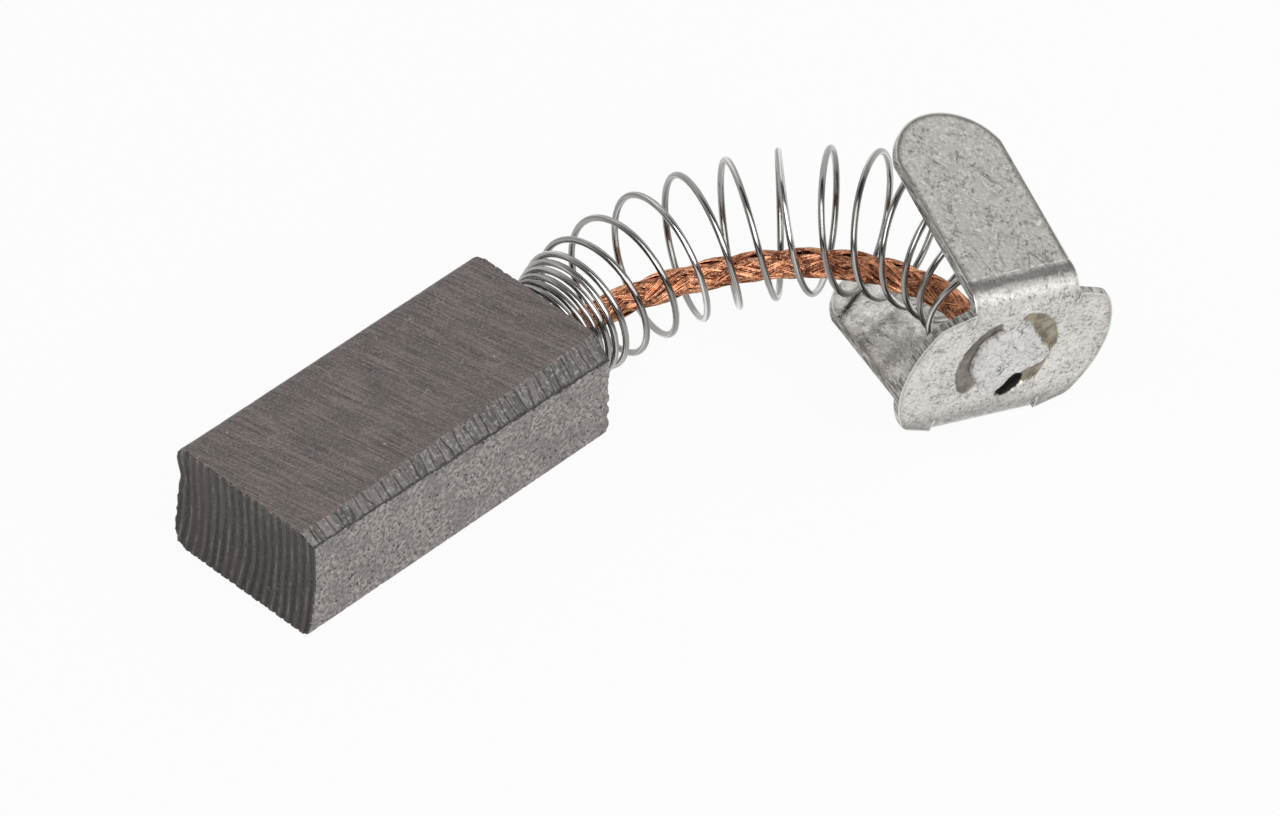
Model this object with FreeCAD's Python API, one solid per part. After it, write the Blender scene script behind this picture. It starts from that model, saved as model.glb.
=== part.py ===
"""Carbon brush for a small motor: carbon block, copper lead, spring and clip terminal.

Millimetres. The origin is the middle of the carbon block's lower face, +X runs along the
block towards the spring, +Y is the block's rounded side and +Z is up. The block lies on
the surface, and the spring and lead bend round to the terminal, which leans beside it.
"""

import FreeCAD, Part
import math
import os

Vector = FreeCAD.Vector

# Carbon block
block_length = 21.0
block_width = 10.0
block_height = 6.3
upper_round = 0.9
lower_round = 1.1
foot_round = 0.35

# Rubbing face, worn to the commutator
commutator_radius = 14.5
lower_lip = 0.48
ripple_pitch = 0.56
ripple_depth = 0.08

# Milled bevel on one long edge, deeper towards the spring
bevel_top_front = 0.85
bevel_side_front = 0.45
bevel_top_back = 1.05
bevel_side_back = 1.2
notch_pitch = 0.62
notch_radius = 0.42
notch_depth = 0.075
notch_wander = 0.1
notch_depth_spread = 0.45
wander_step = 2.3
spread_step = 1.7

# Lead and its socket in the block
lead_diameter = 1.6
socket_depth = 5.0
powder_ring = 0.55
mouth_flare = 0.45
mouth_depth = 0.9
powder_below_mouth = 0.9

# Route of the lead between its socket and its last straight stretch, square to the cap
lead_route = [
    (13.0, 0.0, 3.15),
    (20.2, -2.7, 3.75),
    (24.6, -7.4, 4.7),
    (25.75, -12.15, 5.55),
]
lead_entry = 3.6
lead_arc_share = 0.45

# Terminal cap, pressed from sheet
sheet_thickness = 0.48
plate_radius = 6.3
shoulder_half_height = 4.3
shoulder_fall_deg = 14.0
shoulder_round = 0.55
cap_height = 10.0
tab_width = 6.45
tab_straight = 8.2
tab_tip_bulge = 2.45
bend_radius = 1.45
upper_flare_deg = 8.0
lower_flare_deg = 5.0
weld_ring_radius = 3.25
weld_ring_depth = 0.12

# Lie of the terminal cap beside the block
cap_centre_x = 24.7
cap_centre_y = -19.35
cap_heading_deg = -106.6
cap_roll_deg = 11.2
cap_lean_deg = -9.0

# Solder that closes the lead's hole in the cap
solder_radius = 2.3
solder_height = 0.42
solder_crown = 0.24
burn_pit_radius = 0.42
burn_pit_depth = 0.2
burn_pit_place = (0.75, -1.25)

# Compression spring, narrower where it sits on the block
spring_diameter = 7.93
first_turn_diameter = 6.3
widening_turns = 10.35
wire_diameter = 0.36
close_gap = 0.06
close_turns_block = 4.95
close_turns_cap = 1.0
open_turns = 13.39
opening_turns = 2.3
closing_turns = 0.1
tighter_end_share = 0.93
tighter_from_share = 0.45
tighter_over_share = 0.2
first_top_turn = 0.52
axis_pull_block = 8.71
axis_pull_cap = 2.02
axis_bow_from_block = (16.16, 0.77, -0.21)
axis_bow_from_cap = (7.33, 5.39, 4.06)
coil_side_shift = 0.78
coil_rise = 0.43
cap_seat_length = 1.5
wire_sides = 6
stations_per_turn = 12
axis_steps = 400


def export(shape, node):
    """Write one sub-part, after checking that it is one closed solid."""
    solids = shape.Solids
    if len(solids) != 1 or not solids[0].isValid():
        raise RuntimeError(node + " is not one valid solid")
    solids[0].exportStep("parts/" + node + ".step")
    print(node, "volume", round(solids[0].Volume, 3), "faces", len(solids[0].Faces))


def closed_face(points):
    """A flat face inside a polygon of points."""
    return Part.Face(Part.makePolygon(points + [points[0]]))


def round_bar(centre, radius, axis, length):
    """A round bar whose middle lies at centre, with its axis along the given direction."""
    start = centre - axis * (length / 2)
    return Part.makeCylinder(radius, length, start, axis)


# Carbon block

block_back = block_length / 2
block_front = -block_length / 2
block_side = block_width / 2
lead_axis_height = block_height / 2


def block_section():
    """The block's section across its length, with its rounded long edges."""
    low_y, high_y = -block_side, block_side
    arc = math.sqrt(0.5)

    def corner(y, z, radius, toward_y, toward_z):
        centre = Vector(0, y + toward_y * radius, z + toward_z * radius)
        start = Vector(0, y, centre.z)
        middle = centre - Vector(0, toward_y * radius * arc, toward_z * radius * arc)
        end = Vector(0, centre.y, z)
        return start, middle, end

    foot = corner(low_y, 0, foot_round, 1, 1)
    low = corner(high_y, 0, lower_round, -1, 1)
    high = corner(high_y, block_height, upper_round, -1, -1)
    bevel_corner = Vector(0, low_y, block_height)
    edges = [
        Part.Arc(foot[0], foot[1], foot[2]).toShape(),
        Part.LineSegment(foot[2], low[2]).toShape(),
        Part.Arc(low[2], low[1], low[0]).toShape(),
        Part.LineSegment(low[0], high[0]).toShape(),
        Part.Arc(high[0], high[1], high[2]).toShape(),
        Part.LineSegment(high[2], bevel_corner).toShape(),
        Part.LineSegment(bevel_corner, foot[0]).toShape(),
    ]
    return Part.Face(Part.Wire(edges))


def commutator_axis():
    """The commutator's axis lies where its surface meets the upper and the lower lip."""
    upper = Vector(block_front, 0, block_height)
    lower = Vector(block_front - lower_lip, 0, 0)
    chord = lower - upper
    across = Vector(-chord.z, 0, chord.x).normalize()
    if across.x > 0:
        across = across * -1
    reach = math.sqrt(commutator_radius**2 - (chord.Length / 2) ** 2)
    return (upper + lower) * 0.5 + across * reach


def ribbed_commutator():
    """A drum with rounded rings, which leaves the ripples of wear in the rubbing face."""
    centre = commutator_axis()
    rings = math.ceil(block_width / ripple_pitch) + 2
    width = rings * ripple_pitch
    inner = commutator_radius / 2
    edges = []
    for ring in range(rings):
        y = ring * ripple_pitch - width / 2
        valley = Vector(centre.x + commutator_radius, y, centre.z)
        crown = valley + Vector(ripple_depth, ripple_pitch / 2, 0)
        ending = valley + Vector(0, ripple_pitch, 0)
        edges.append(Part.Arc(valley, crown, ending).toShape())
    first = Vector(centre.x + commutator_radius, -width / 2, centre.z)
    last = Vector(centre.x + commutator_radius, width / 2, centre.z)
    inner_last = Vector(centre.x + inner, width / 2, centre.z)
    inner_first = Vector(centre.x + inner, -width / 2, centre.z)
    edges.append(Part.LineSegment(last, inner_last).toShape())
    edges.append(Part.LineSegment(inner_last, inner_first).toShape())
    edges.append(Part.LineSegment(inner_first, first).toShape())
    profile = Part.Face(Part.Wire(edges))
    start = profile.copy()
    start.rotate(centre, Vector(0, 1, 0), 60)
    return start.revolve(centre, Vector(0, 1, 0), -120)


def bevel_at(x):
    """The bevel's upper and lower point at a place along the block."""
    share = (x - block_front) / block_length
    top = bevel_top_front + share * (bevel_top_back - bevel_top_front)
    side = bevel_side_front + share * (bevel_side_back - bevel_side_front)
    return Vector(x, -block_side + top, block_height), Vector(x, -block_side, block_height - side)


def bevel_wedge():
    """What the tapered bevel takes off the long edge, past both ends of the block."""
    sections = []
    for x in (block_front - 2 * lower_lip, block_back + 1):
        top, side = bevel_at(x)
        corner = Vector(x, -block_side, block_height)
        outward = Vector(0, -1, 1)
        points = [top, side, side + Vector(0, -1, 0), corner + outward, top + Vector(0, 0, 1)]
        sections.append(Part.makePolygon(points + [points[0]]))
    return Part.makeLoft(sections, True, True)


def bevel_notches():
    """Shallow cutter marks that run down the bevel, uneven as a hand-fed cutter leaves them."""
    marks = []
    count = math.floor(block_length / notch_pitch)
    for index in range(count):
        wander = notch_wander * math.sin(wander_step * index)
        x = block_front + (index + 0.5) * block_length / count + wander
        depth = notch_depth * (1 + notch_depth_spread * math.cos(spread_step * index))
        top, side = bevel_at(x)
        down = (side - top).normalize()
        outward = Vector(0, down.z, -down.y)
        if outward.y > 0:
            outward = outward * -1
        centre = (top + side) * 0.5 + outward * (notch_radius - depth)
        marks.append(round_bar(centre, notch_radius, down, 3 * (side - top).Length))
    return marks


def lead_socket():
    """The blind hole that the lead is tamped into, with its flared mouth."""
    radius = lead_diameter / 2 + powder_ring
    direction = Vector(1, 0, 0)
    bottom = Vector(block_back - socket_depth, 0, lead_axis_height)
    mouth = Vector(block_back - mouth_depth, 0, lead_axis_height)
    hole = Part.makeCylinder(radius, socket_depth, bottom, direction)
    flare = Part.makeCone(radius, radius + mouth_flare, mouth_depth, mouth, direction)
    return hole.fuse(flare).removeSplitter()


def carbon_block():
    """The block: one pressed piece with its bevel, socket and worn rubbing face."""
    front_stock = 2 * lower_lip + 0.5
    blank = block_section().extrude(Vector(block_length + front_stock, 0, 0))
    blank.translate(Vector(block_front - front_stock, 0, 0))
    blank = blank.cut(bevel_wedge())
    blank = blank.cut(bevel_notches())
    blank = blank.cut(lead_socket())
    blank = blank.cut(ribbed_commutator())
    return blank


def tamping_powder():
    """Copper powder tamped round the lead, level with the start of the socket's mouth."""
    socket = lead_socket()
    high = 4 * lead_diameter
    start = Vector(block_back - powder_below_mouth, -high / 2, lead_axis_height - high / 2)
    outer = Part.makeBox(high, high, high, start)
    lead = round_bar(Vector(block_back, 0, lead_axis_height), lead_diameter / 2,
                     Vector(1, 0, 0), 4 * socket_depth)
    return socket.cut(outer).cut(lead)


# Terminal cap, modelled upright and then laid in its place

bend_inner = bend_radius - sheet_thickness
bend_start = cap_height / 2 - bend_radius


def bend_side(flare_deg, upward, offset):
    """One side of a tab's profile, from the bend's start to the tab's tip."""
    flare = math.radians(flare_deg)
    radius = bend_radius - offset
    turn = math.pi / 2 - flare
    centre = Vector(0, bend_start, -bend_radius)
    start = centre + Vector(0, 0, radius)
    middle = centre + Vector(0, radius * math.sin(turn / 2), radius * math.cos(turn / 2))
    end = centre + Vector(0, radius * math.sin(turn), radius * math.cos(turn))
    reach = tab_straight + tab_tip_bulge
    tip = end + Vector(0, math.sin(flare), -math.cos(flare)) * reach
    points = [start, middle, end, tip]
    if upward:
        return points
    return [Vector(0, -point.y, point.z) for point in points]


def strap():
    """The middle strip of the cap: plate, two bends and two tabs as one folded sheet."""
    edges = []
    tips = []
    for upward, flare in ((True, upper_flare_deg), (False, lower_flare_deg)):
        outer = bend_side(flare, upward, 0)
        inner = bend_side(flare, upward, sheet_thickness)
        for side in (outer, inner):
            edges.append(Part.Arc(side[0], side[1], side[2]).toShape())
            edges.append(Part.LineSegment(side[2], side[3]).toShape())
        edges.append(Part.LineSegment(outer[3], inner[3]).toShape())
        tips.append((outer[0], inner[0]))
    edges.append(Part.LineSegment(tips[0][0], tips[1][0]).toShape())
    edges.append(Part.LineSegment(tips[0][1], tips[1][1]).toShape())
    profile = Part.Face(Part.Wire(Part.sortEdges(edges)[0]))
    half = tab_width / 2
    folded = profile.extrude(Vector(tab_width, 0, 0))
    folded.translate(Vector(-half, 0, 0))

    far = -bend_radius - tab_straight
    tip = Vector(0, 0, far - tab_tip_bulge)
    outline = Part.Wire([
        Part.LineSegment(Vector(half, 0, 1), Vector(half, 0, far)).toShape(),
        Part.Arc(Vector(half, 0, far), tip, Vector(-half, 0, far)).toShape(),
        Part.LineSegment(Vector(-half, 0, far), Vector(-half, 0, 1)).toShape(),
        Part.LineSegment(Vector(-half, 0, 1), Vector(half, 0, 1)).toShape(),
    ])
    cutter = Part.Face(outline).extrude(Vector(0, 4 * cap_height, 0))
    cutter.translate(Vector(0, -2 * cap_height, 0))
    return folded.common(cutter)


def plate():
    """The plate's two side lobes: a disc with shoulders that fall away from the tabs."""
    half = tab_width / 2
    reach = plate_radius + 1
    fall = (reach - half) * math.tan(math.radians(shoulder_fall_deg))
    low = shoulder_half_height - fall
    points = [
        Vector(half, shoulder_half_height, -sheet_thickness),
        Vector(-half, shoulder_half_height, -sheet_thickness),
        Vector(-reach, low, -sheet_thickness),
        Vector(-reach, -low, -sheet_thickness),
        Vector(-half, -shoulder_half_height, -sheet_thickness),
        Vector(half, -shoulder_half_height, -sheet_thickness),
        Vector(reach, -low, -sheet_thickness),
        Vector(reach, low, -sheet_thickness),
    ]
    shoulders = closed_face(points).extrude(Vector(0, 0, sheet_thickness))
    disc = Part.makeCylinder(plate_radius, sheet_thickness, Vector(0, 0, -sheet_thickness))
    lobes = disc.common(shoulders)
    corners = [edge for edge in lobes.Edges if is_lobe_corner(edge)]
    return lobes.makeFillet(shoulder_round, corners)


def is_lobe_corner(edge):
    """True for an upright edge where a shoulder meets the round of a lobe."""
    first, last = edge.Vertexes[0].Point, edge.Vertexes[-1].Point
    upright = abs(abs(first.z - last.z) - sheet_thickness) < 1e-6
    return upright and abs(math.hypot(first.x, first.y) - plate_radius) < 1e-6


def lead_hole():
    """The hole that the lead passes through."""
    return Part.makeCylinder(lead_diameter / 2, 4 * sheet_thickness,
                             Vector(0, 0, -2 * sheet_thickness))


def terminal_cap_upright():
    """The cap about its own middle: X across the tabs, Y from tab to tab, Z outward."""
    cap = plate().fuse(strap())
    ring = Part.makeCylinder(weld_ring_radius, 1, Vector(0, 0, -weld_ring_depth))
    island = Part.makeCylinder(solder_radius, 1, Vector(0, 0, -weld_ring_depth))
    return cap.cut(ring.cut(island)).cut(lead_hole())


def cap_rotation():
    """How the cap lies: turned round towards the block, rolled and leaning outward."""
    heading = math.radians(cap_heading_deg)
    roll = math.radians(cap_roll_deg)
    lean = math.radians(cap_lean_deg)
    level = Vector(math.cos(heading), math.sin(heading), 0)
    side = Vector(-math.sin(heading), math.cos(heading), 0)
    up = Vector(0, 0, 1)
    outward = level * math.cos(lean) + up * math.sin(lean)
    leaning_up = up * math.cos(lean) - level * math.sin(lean)
    across = side * math.cos(roll) - leaning_up * math.sin(roll)
    upward = side * math.sin(roll) + leaning_up * math.cos(roll)
    return FreeCAD.Rotation(across, upward, outward, "XYZ")


def cap_placement(upright):
    """The cap's lowest bend rests on the surface that the block lies on."""
    turned = upright.copy()
    turned.Placement = FreeCAD.Placement(Vector(0, 0, 0), cap_rotation())
    lowest = turned.optimalBoundingBox(False).ZMin
    return FreeCAD.Placement(Vector(cap_centre_x, cap_centre_y, -lowest), cap_rotation())


def in_cap(placement, x, y, z):
    """A point of the cap's own frame in the part's frame."""
    return placement.multVec(Vector(x, y, z))


def solder_button(placement):
    """A low dome of solder over the lead's end, with the small pit that the weld burnt."""
    dome_radius = (solder_radius**2 + solder_crown**2) / (2 * solder_crown)
    rim = solder_height - solder_crown
    base = Part.makeCylinder(solder_radius, solder_height)
    ball = Part.makeSphere(dome_radius, Vector(0, 0, solder_height - dome_radius))
    dome = base.common(ball)
    x, y = burn_pit_place
    floor = max(rim * 0.5, solder_height - burn_pit_depth - solder_crown)
    pit = Part.makeCylinder(burn_pit_radius, solder_height, Vector(x, y, floor))
    button = dome.cut(pit)
    button.Placement = placement
    return button


# Lead

def tangent_path(points, share):
    """Straight runs joined by tangent arcs, each as large as its two runs allow."""
    edges = []
    radii = []
    start = points[0]
    for before, corner, after in zip(points, points[1:], points[2:]):
        back = (before - corner).normalize()
        ahead = (after - corner).normalize()
        shorter = min((before - corner).Length, (after - corner).Length)
        half_turn = (math.pi - back.getAngle(ahead)) / 2
        reach = share * shorter
        radius = reach / math.tan(half_turn)
        bisector = (back + ahead).normalize()
        centre = corner + bisector * (radius / math.cos(half_turn))
        arc_start = corner + back * reach
        arc_end = corner + ahead * reach
        edges.append(Part.LineSegment(start, arc_start).toShape())
        edges.append(Part.Arc(arc_start, centre - bisector * radius, arc_end).toShape())
        radii.append(round(radius, 1))
        start = arc_end
    edges.append(Part.LineSegment(start, points[-1]).toShape())
    return Part.Wire(edges), radii


def lead_points(placement):
    """From the socket's bottom along the route, and square through the cap's plate."""
    bottom = Vector(block_back - socket_depth, 0, lead_axis_height)
    route = [Vector(*point) for point in lead_route]
    last_stretch = [in_cap(placement, 0, 0, -lead_entry), in_cap(placement, 0, 0, 0)]
    return [bottom] + route + last_stretch


def braided_lead(placement):
    """The lead as a plain round bar along its route."""
    points = lead_points(placement)
    path, radii = tangent_path(points, lead_arc_share)
    direction = (points[1] - points[0]).normalize()
    section = Part.Wire(Part.makeCircle(lead_diameter / 2, points[0], direction))
    solid = path.makePipeShell([section], True, False)
    area = math.pi * lead_diameter**2 / 4
    print("lead length", round(path.Length, 2), "bend radii", radii)
    print("lead volume", round(solid.Volume, 3), "section times length", round(area * path.Length, 3))
    return solid


# Compression spring

wire_radius = wire_diameter / 2
wire_corner_radius = wire_radius / math.sqrt(math.cos(math.pi / wire_sides))
coil_radius = (spring_diameter - wire_diameter) / 2
first_coil_radius = (first_turn_diameter - wire_diameter) / 2


def bend_clearance():
    """How far the last turn stands off the plate because it bears on the cap's bends."""
    over = coil_radius + wire_radius + coil_rise - bend_start
    if over <= 0:
        return 0.0
    over = min(over, bend_inner)
    return bend_inner - math.sqrt(bend_inner**2 - over**2)


def spring_axis_ends(placement):
    """Where the spring's axis starts behind the block and ends inside the cap."""
    start = Vector(block_back + wire_corner_radius, 0, spring_diameter / 2)
    inward = sheet_thickness + wire_corner_radius + bend_clearance()
    end = in_cap(placement, coil_side_shift, coil_rise, -inward)
    return start, end


def spring_axis(placement):
    """Points and directions along the bent axis, with the length from its start."""
    start, end = spring_axis_ends(placement)
    outward = cap_rotation().multVec(Vector(0, 0, 1))
    controls = [
        start,
        start + Vector(axis_pull_block, 0, 0),
        start + Vector(*axis_bow_from_block),
        placement.Base + Vector(*axis_bow_from_cap),
        end - outward * axis_pull_cap,
        end,
    ]
    curve = Part.BezierCurve()
    curve.setPoles(controls)
    rows = []
    length = 0.0
    for step in range(axis_steps + 1):
        share = step / axis_steps
        point = curve.value(share)
        if rows:
            length += (point - rows[-1][1]).Length
        rows.append((length, point, curve.tangent(share)[0]))
    return rows


def relative_pitch(turn):
    """How open the spring is at a turn: 0 where its turns lie close, 1 where it is open."""
    last_open = close_turns_block + open_turns
    if turn <= close_turns_block or turn >= last_open:
        return 0.0
    opening = min(1.0, (turn - close_turns_block) / opening_turns)
    closing = min(1.0, (last_open - turn) / closing_turns)
    share = (turn - close_turns_block) / open_turns
    later = smooth_step((share - tighter_from_share) / tighter_over_share)
    return opening * closing * (1.0 - (1.0 - tighter_end_share) * later)


def smooth_step(value):
    """A soft change from 0 to 1."""
    value = max(0.0, min(1.0, value))
    return value * value * (3 - 2 * value)


def spring_stations(axis_length):
    """Turn number and distance along the axis, where the open turns take up what is left."""
    turns = close_turns_block + open_turns + close_turns_cap
    count = round(turns * stations_per_turn)
    close_pitch = wire_diameter + close_gap
    numbers = [turns * index / count for index in range(count + 1)]
    opened = [0.0]
    for first, second in zip(numbers, numbers[1:]):
        opened.append(opened[-1] + relative_pitch((first + second) / 2) * (second - first))
    spare = axis_length - close_pitch * turns
    return [(number, number * close_pitch + spare * open_share / opened[-1])
            for number, open_share in zip(numbers, opened)]


def point_on_axis(rows, distance):
    """Place and direction at a distance along the axis, between two of its points."""
    low, high = 0, len(rows) - 1
    while high - low > 1:
        middle = (low + high) // 2
        if rows[middle][0] <= distance:
            low = middle
        else:
            high = middle
    span = rows[high][0] - rows[low][0]
    share = (distance - rows[low][0]) / span
    point = rows[low][1] + (rows[high][1] - rows[low][1]) * share
    direction = rows[low][2] + (rows[high][2] - rows[low][2]) * share
    return point, direction.normalize()


def coil_radius_at(number):
    """The turns widen from the first one, which fits the block's back, to the full size."""
    wider = smooth_step(number / widening_turns)
    return first_coil_radius + (coil_radius - first_coil_radius) * wider


def wire_line(placement):
    """The middle line of the wire: a right-hand helix whose narrower turns lie as low as the
    wide ones would, and whose two ends stand square to the block and to the plate."""
    rows = spring_axis(placement)
    axis_length = rows[-1][0]
    facing = cap_rotation().multVec(Vector(0, 0, 1))
    first_top = close_turns_block + first_top_turn
    line = []
    for number, distance in spring_stations(axis_length):
        point, direction = point_on_axis(rows, distance)
        free = smooth_step((axis_length - distance) / cap_seat_length)
        direction = (direction * free + facing * (1 - free)).normalize()
        right = direction.cross(Vector(0, 0, 1)).normalize()
        up = right.cross(direction)
        angle = 2 * math.pi * (number - first_top)
        outward = right * math.sin(angle) + up * math.cos(angle)
        radius = coil_radius_at(number)
        centre = point - Vector(0, 0, coil_radius - radius)
        line.append((centre + outward * radius, outward))
    return line


def wire_corners(line):
    """For each station, the corners of the wire's section."""
    rings = []
    for index, (point, outward) in enumerate(line):
        before = line[max(index - 1, 0)][0]
        after = line[min(index + 1, len(line) - 1)][0]
        along = (after - before).normalize()
        across = (outward - along * outward.dot(along)).normalize()
        other = along.cross(across)
        ring = []
        for side in range(wire_sides):
            angle = 2 * math.pi * (side + 0.5) / wire_sides
            arm = across * math.cos(angle) + other * math.sin(angle)
            ring.append(point + arm * wire_corner_radius)
        rings.append(ring)
    return rings


def compression_spring(placement):
    """The spring: its wire's section carried from station to station round the helix."""
    rings = wire_corners(wire_line(placement))
    sections = [Part.makePolygon(ring + [ring[0]]) for ring in rings]
    return Part.makeLoft(sections, True, True)


def main():
    """Build each sub-part and write it under its own name."""
    os.makedirs("parts", exist_ok=True)
    upright = terminal_cap_upright()
    placement = cap_placement(upright)
    cap = upright.copy()
    cap.Placement = placement
    export(carbon_block(), "carbon_block")
    export(tamping_powder(), "tamping_powder")
    export(braided_lead(placement), "braided_lead")
    export(compression_spring(placement), "compression_spring")
    export(cap, "terminal_cap")
    export(solder_button(placement), "solder_button")
    print("cap middle", placement.Base)


main()
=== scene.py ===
"""Carbon brush for a small motor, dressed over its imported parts.

Lengths in the named values are millimetres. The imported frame's origin is the middle of the
carbon block's lower face, +X runs along the block to the spring and +Z is up.
"""

import math

import bmesh
import bpy
import numpy as np
from mathutils import Matrix, Vector, noise
from mathutils.kdtree import KDTree


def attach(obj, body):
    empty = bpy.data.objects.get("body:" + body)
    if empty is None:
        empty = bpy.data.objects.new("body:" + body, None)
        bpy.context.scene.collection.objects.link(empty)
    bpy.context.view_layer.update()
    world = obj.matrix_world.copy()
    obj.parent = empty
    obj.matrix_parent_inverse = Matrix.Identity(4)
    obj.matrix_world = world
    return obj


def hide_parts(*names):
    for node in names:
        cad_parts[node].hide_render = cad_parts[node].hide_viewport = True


bl_info = {
    "name": "Carbon Brush",
    "version": (1, 0, 0),
    "blender": (4, 5, 0),
    "location": "View3D > Sidebar > Carbon Brush",
    "description": "Worn carbon block, plaited copper lead, spring and folded terminal cap",
    "category": "Object",
}

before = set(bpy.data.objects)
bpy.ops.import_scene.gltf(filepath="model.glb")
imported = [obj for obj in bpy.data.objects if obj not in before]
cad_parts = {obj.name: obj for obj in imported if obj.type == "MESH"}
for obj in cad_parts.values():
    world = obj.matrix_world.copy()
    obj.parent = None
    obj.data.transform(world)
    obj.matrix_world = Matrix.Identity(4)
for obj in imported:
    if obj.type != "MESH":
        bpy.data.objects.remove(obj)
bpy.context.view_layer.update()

MM = 0.001
BODY = "root"

# Carbon block
block_front = -10.5
block_back = 10.5
block_side = 5.0
block_top = 6.3
lower_lip = 0.48
bevel_top = (0.85, 1.05)
bevel_side = (0.45, 1.2)
ripple_pitch = 0.56
facet_pitch = 21.0 / 33

# How far from an edge or face each kind of wear reaches
front_reach = 0.9
chip_reach = 0.55
burr_reach = 0.24
back_edge_reach = 0.4

# Route of the lead in metres, as in the part's source
lead_route = [
    (0.0055, 0.0, 0.00315),
    (0.013, 0.0, 0.00315),
    (0.0202, -0.0027, 0.00375),
    (0.0246, -0.0074, 0.0047),
    (0.02575, -0.01215, 0.00555),
    (0.025716, -0.015942, 0.005818),
    (0.0247, -0.01935, 0.005254),
]
lead_diameter = 1.6
lead_steps = 210
plait_seed = 7
plait_wire_radius = 0.05
plait_wave = 0.1
plait_fill = 0.86
core_inset = 0.24

# Terminal cap and how it lies
sheet_thickness = 0.48
plate_radius = 6.3
shoulder_half_height = 4.3
shoulder_fall = 14.0
cap_height = 10.0
tab_width = 6.45
tab_straight = 8.2
tab_tip_bulge = 2.45
bend_radius = 1.45
tab_flares = (8.0, 5.0)
net_steps = 56
bend_rows = 10
tab_rows = 20
lobe_columns = 16
weld_middle = (-0.05, 0.45)
weld_radius = 3.12
weld_depth = 0.17
burn_pit = (0.97, -1.83)
pit_depth = 0.36
cap_middle = (24.7, -19.35, 5.2544)
cap_heading = -106.6
cap_roll = 11.2
cap_lean = -9.0

# Spring
spring_diameter = 7.93
first_turn_diameter = 6.3
widening_turns = 10.35
wire_diameter = 0.36
wire_corner = 0.1934
close_gap = 0.06
close_turns_block = 4.95
close_turns_cap = 1.0
open_turns = 13.39
opening_turns = 2.3
closing_turns = 0.1
tighter_end_share = 0.93
tighter_from_share = 0.45
tighter_over_share = 0.2
first_top_turn = 0.52
axis_pull_block = 8.71
axis_pull_cap = 2.02
axis_bow_from_block = (16.16, 0.77, -0.21)
axis_bow_from_cap = (7.33, 5.39, 4.06)
coil_side_shift = 0.78
coil_rise = 0.43
seat_depth = 1.167
cap_seat_length = 1.5
axis_steps = 400

# Camera of the photograph: it looks at a point on the floor
camera_aim = (13.05, -4.77, 0.0)
camera_distance = 418.1
camera_yaw = 43.51
camera_pitch = 42.70
camera_roll = 1.363
camera_lens = 227.87

# Stage in metres: where lights and cards stand, and how wide they are
stage_aim = (0.01, -0.005, 0.004)
key_light = ((0.05, -0.32, 0.24), 0.22)
fill_light = ((-0.25, 0.18, 0.35), 0.3)
dark_card = ((-0.45, -0.43, 0.62), 4.0)
bright_card = ((-0.3, -0.3, 0.42), 0.62)
floor_width = 6.0


# Sizes and colours that a user can change

class BrushCarbonSettings(bpy.types.PropertyGroup):
    """Sizes and colours of the worn carbon block."""
    grain_size: bpy.props.FloatProperty(
        name="Grain Size", description="Cell size of the block's surface in millimetres",
        default=0.1, min=0.06, max=0.4)
    groove_depth: bpy.props.FloatProperty(
        name="Groove Depth", description="Depth of the fine grooves on the rubbing face in millimetres",
        default=0.035, min=0.0, max=0.1)
    chip_depth: bpy.props.FloatProperty(
        name="Chip Depth", description="Depth of the chips along the edges in millimetres",
        default=0.16, min=0.0, max=0.4)
    burr_height: bpy.props.FloatProperty(
        name="Burr Height", description="Height of the burr along the bevel in millimetres",
        default=0.1, min=0.0, max=0.3)
    ground_colour: bpy.props.FloatVectorProperty(
        name="Ground Face", description="Colour of the ground upper face",
        subtype="COLOR", size=4, default=(0.165, 0.139, 0.131, 1.0), min=0.0, max=1.0)
    # Pressed side colour: the carbon's own grey made paler as painted sheen
    side_colour: bpy.props.FloatVectorProperty(
        name="Pressed Side", description="Colour of the pressed sides",
        subtype="COLOR", size=4, default=(0.35, 0.318, 0.305, 1.0), min=0.0, max=1.0)
    rubbed_colour: bpy.props.FloatVectorProperty(
        name="Rubbing Face", description="Colour of the worn rubbing face",
        subtype="COLOR", size=4, default=(0.05, 0.041, 0.0365, 1.0), min=0.0, max=1.0)
    burr_colour: bpy.props.FloatVectorProperty(
        name="Burr", description="Colour of the coppery burr on the edges",
        subtype="COLOR", size=4, default=(0.42, 0.27, 0.2, 1.0), min=0.0, max=1.0)


class BrushLeadSettings(bpy.types.PropertyGroup):
    """Sizes and colours of the plaited lead."""
    carriers: bpy.props.IntProperty(
        name="Bundles Each Way", description="Bundles of wire that run each way round the lead",
        default=5, min=3, max=12)
    wires: bpy.props.IntProperty(
        name="Wires In A Bundle", description="Fine wires side by side in each bundle",
        default=10, min=2, max=12)
    lay_length: bpy.props.FloatProperty(
        name="Lay Length", description="Length of one turn of a bundle in millimetres",
        default=12.5, min=3.0, max=20.0)
    bright_colour: bpy.props.FloatVectorProperty(
        name="Bright Copper", description="Colour of clean copper wire",
        subtype="COLOR", size=4, default=(0.9, 0.42, 0.23, 1.0), min=0.0, max=1.0)
    dull_colour: bpy.props.FloatVectorProperty(
        name="Tarnished Copper", description="Colour of tarnished copper wire",
        subtype="COLOR", size=4, default=(0.2, 0.062, 0.03, 1.0), min=0.0, max=1.0)


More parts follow.
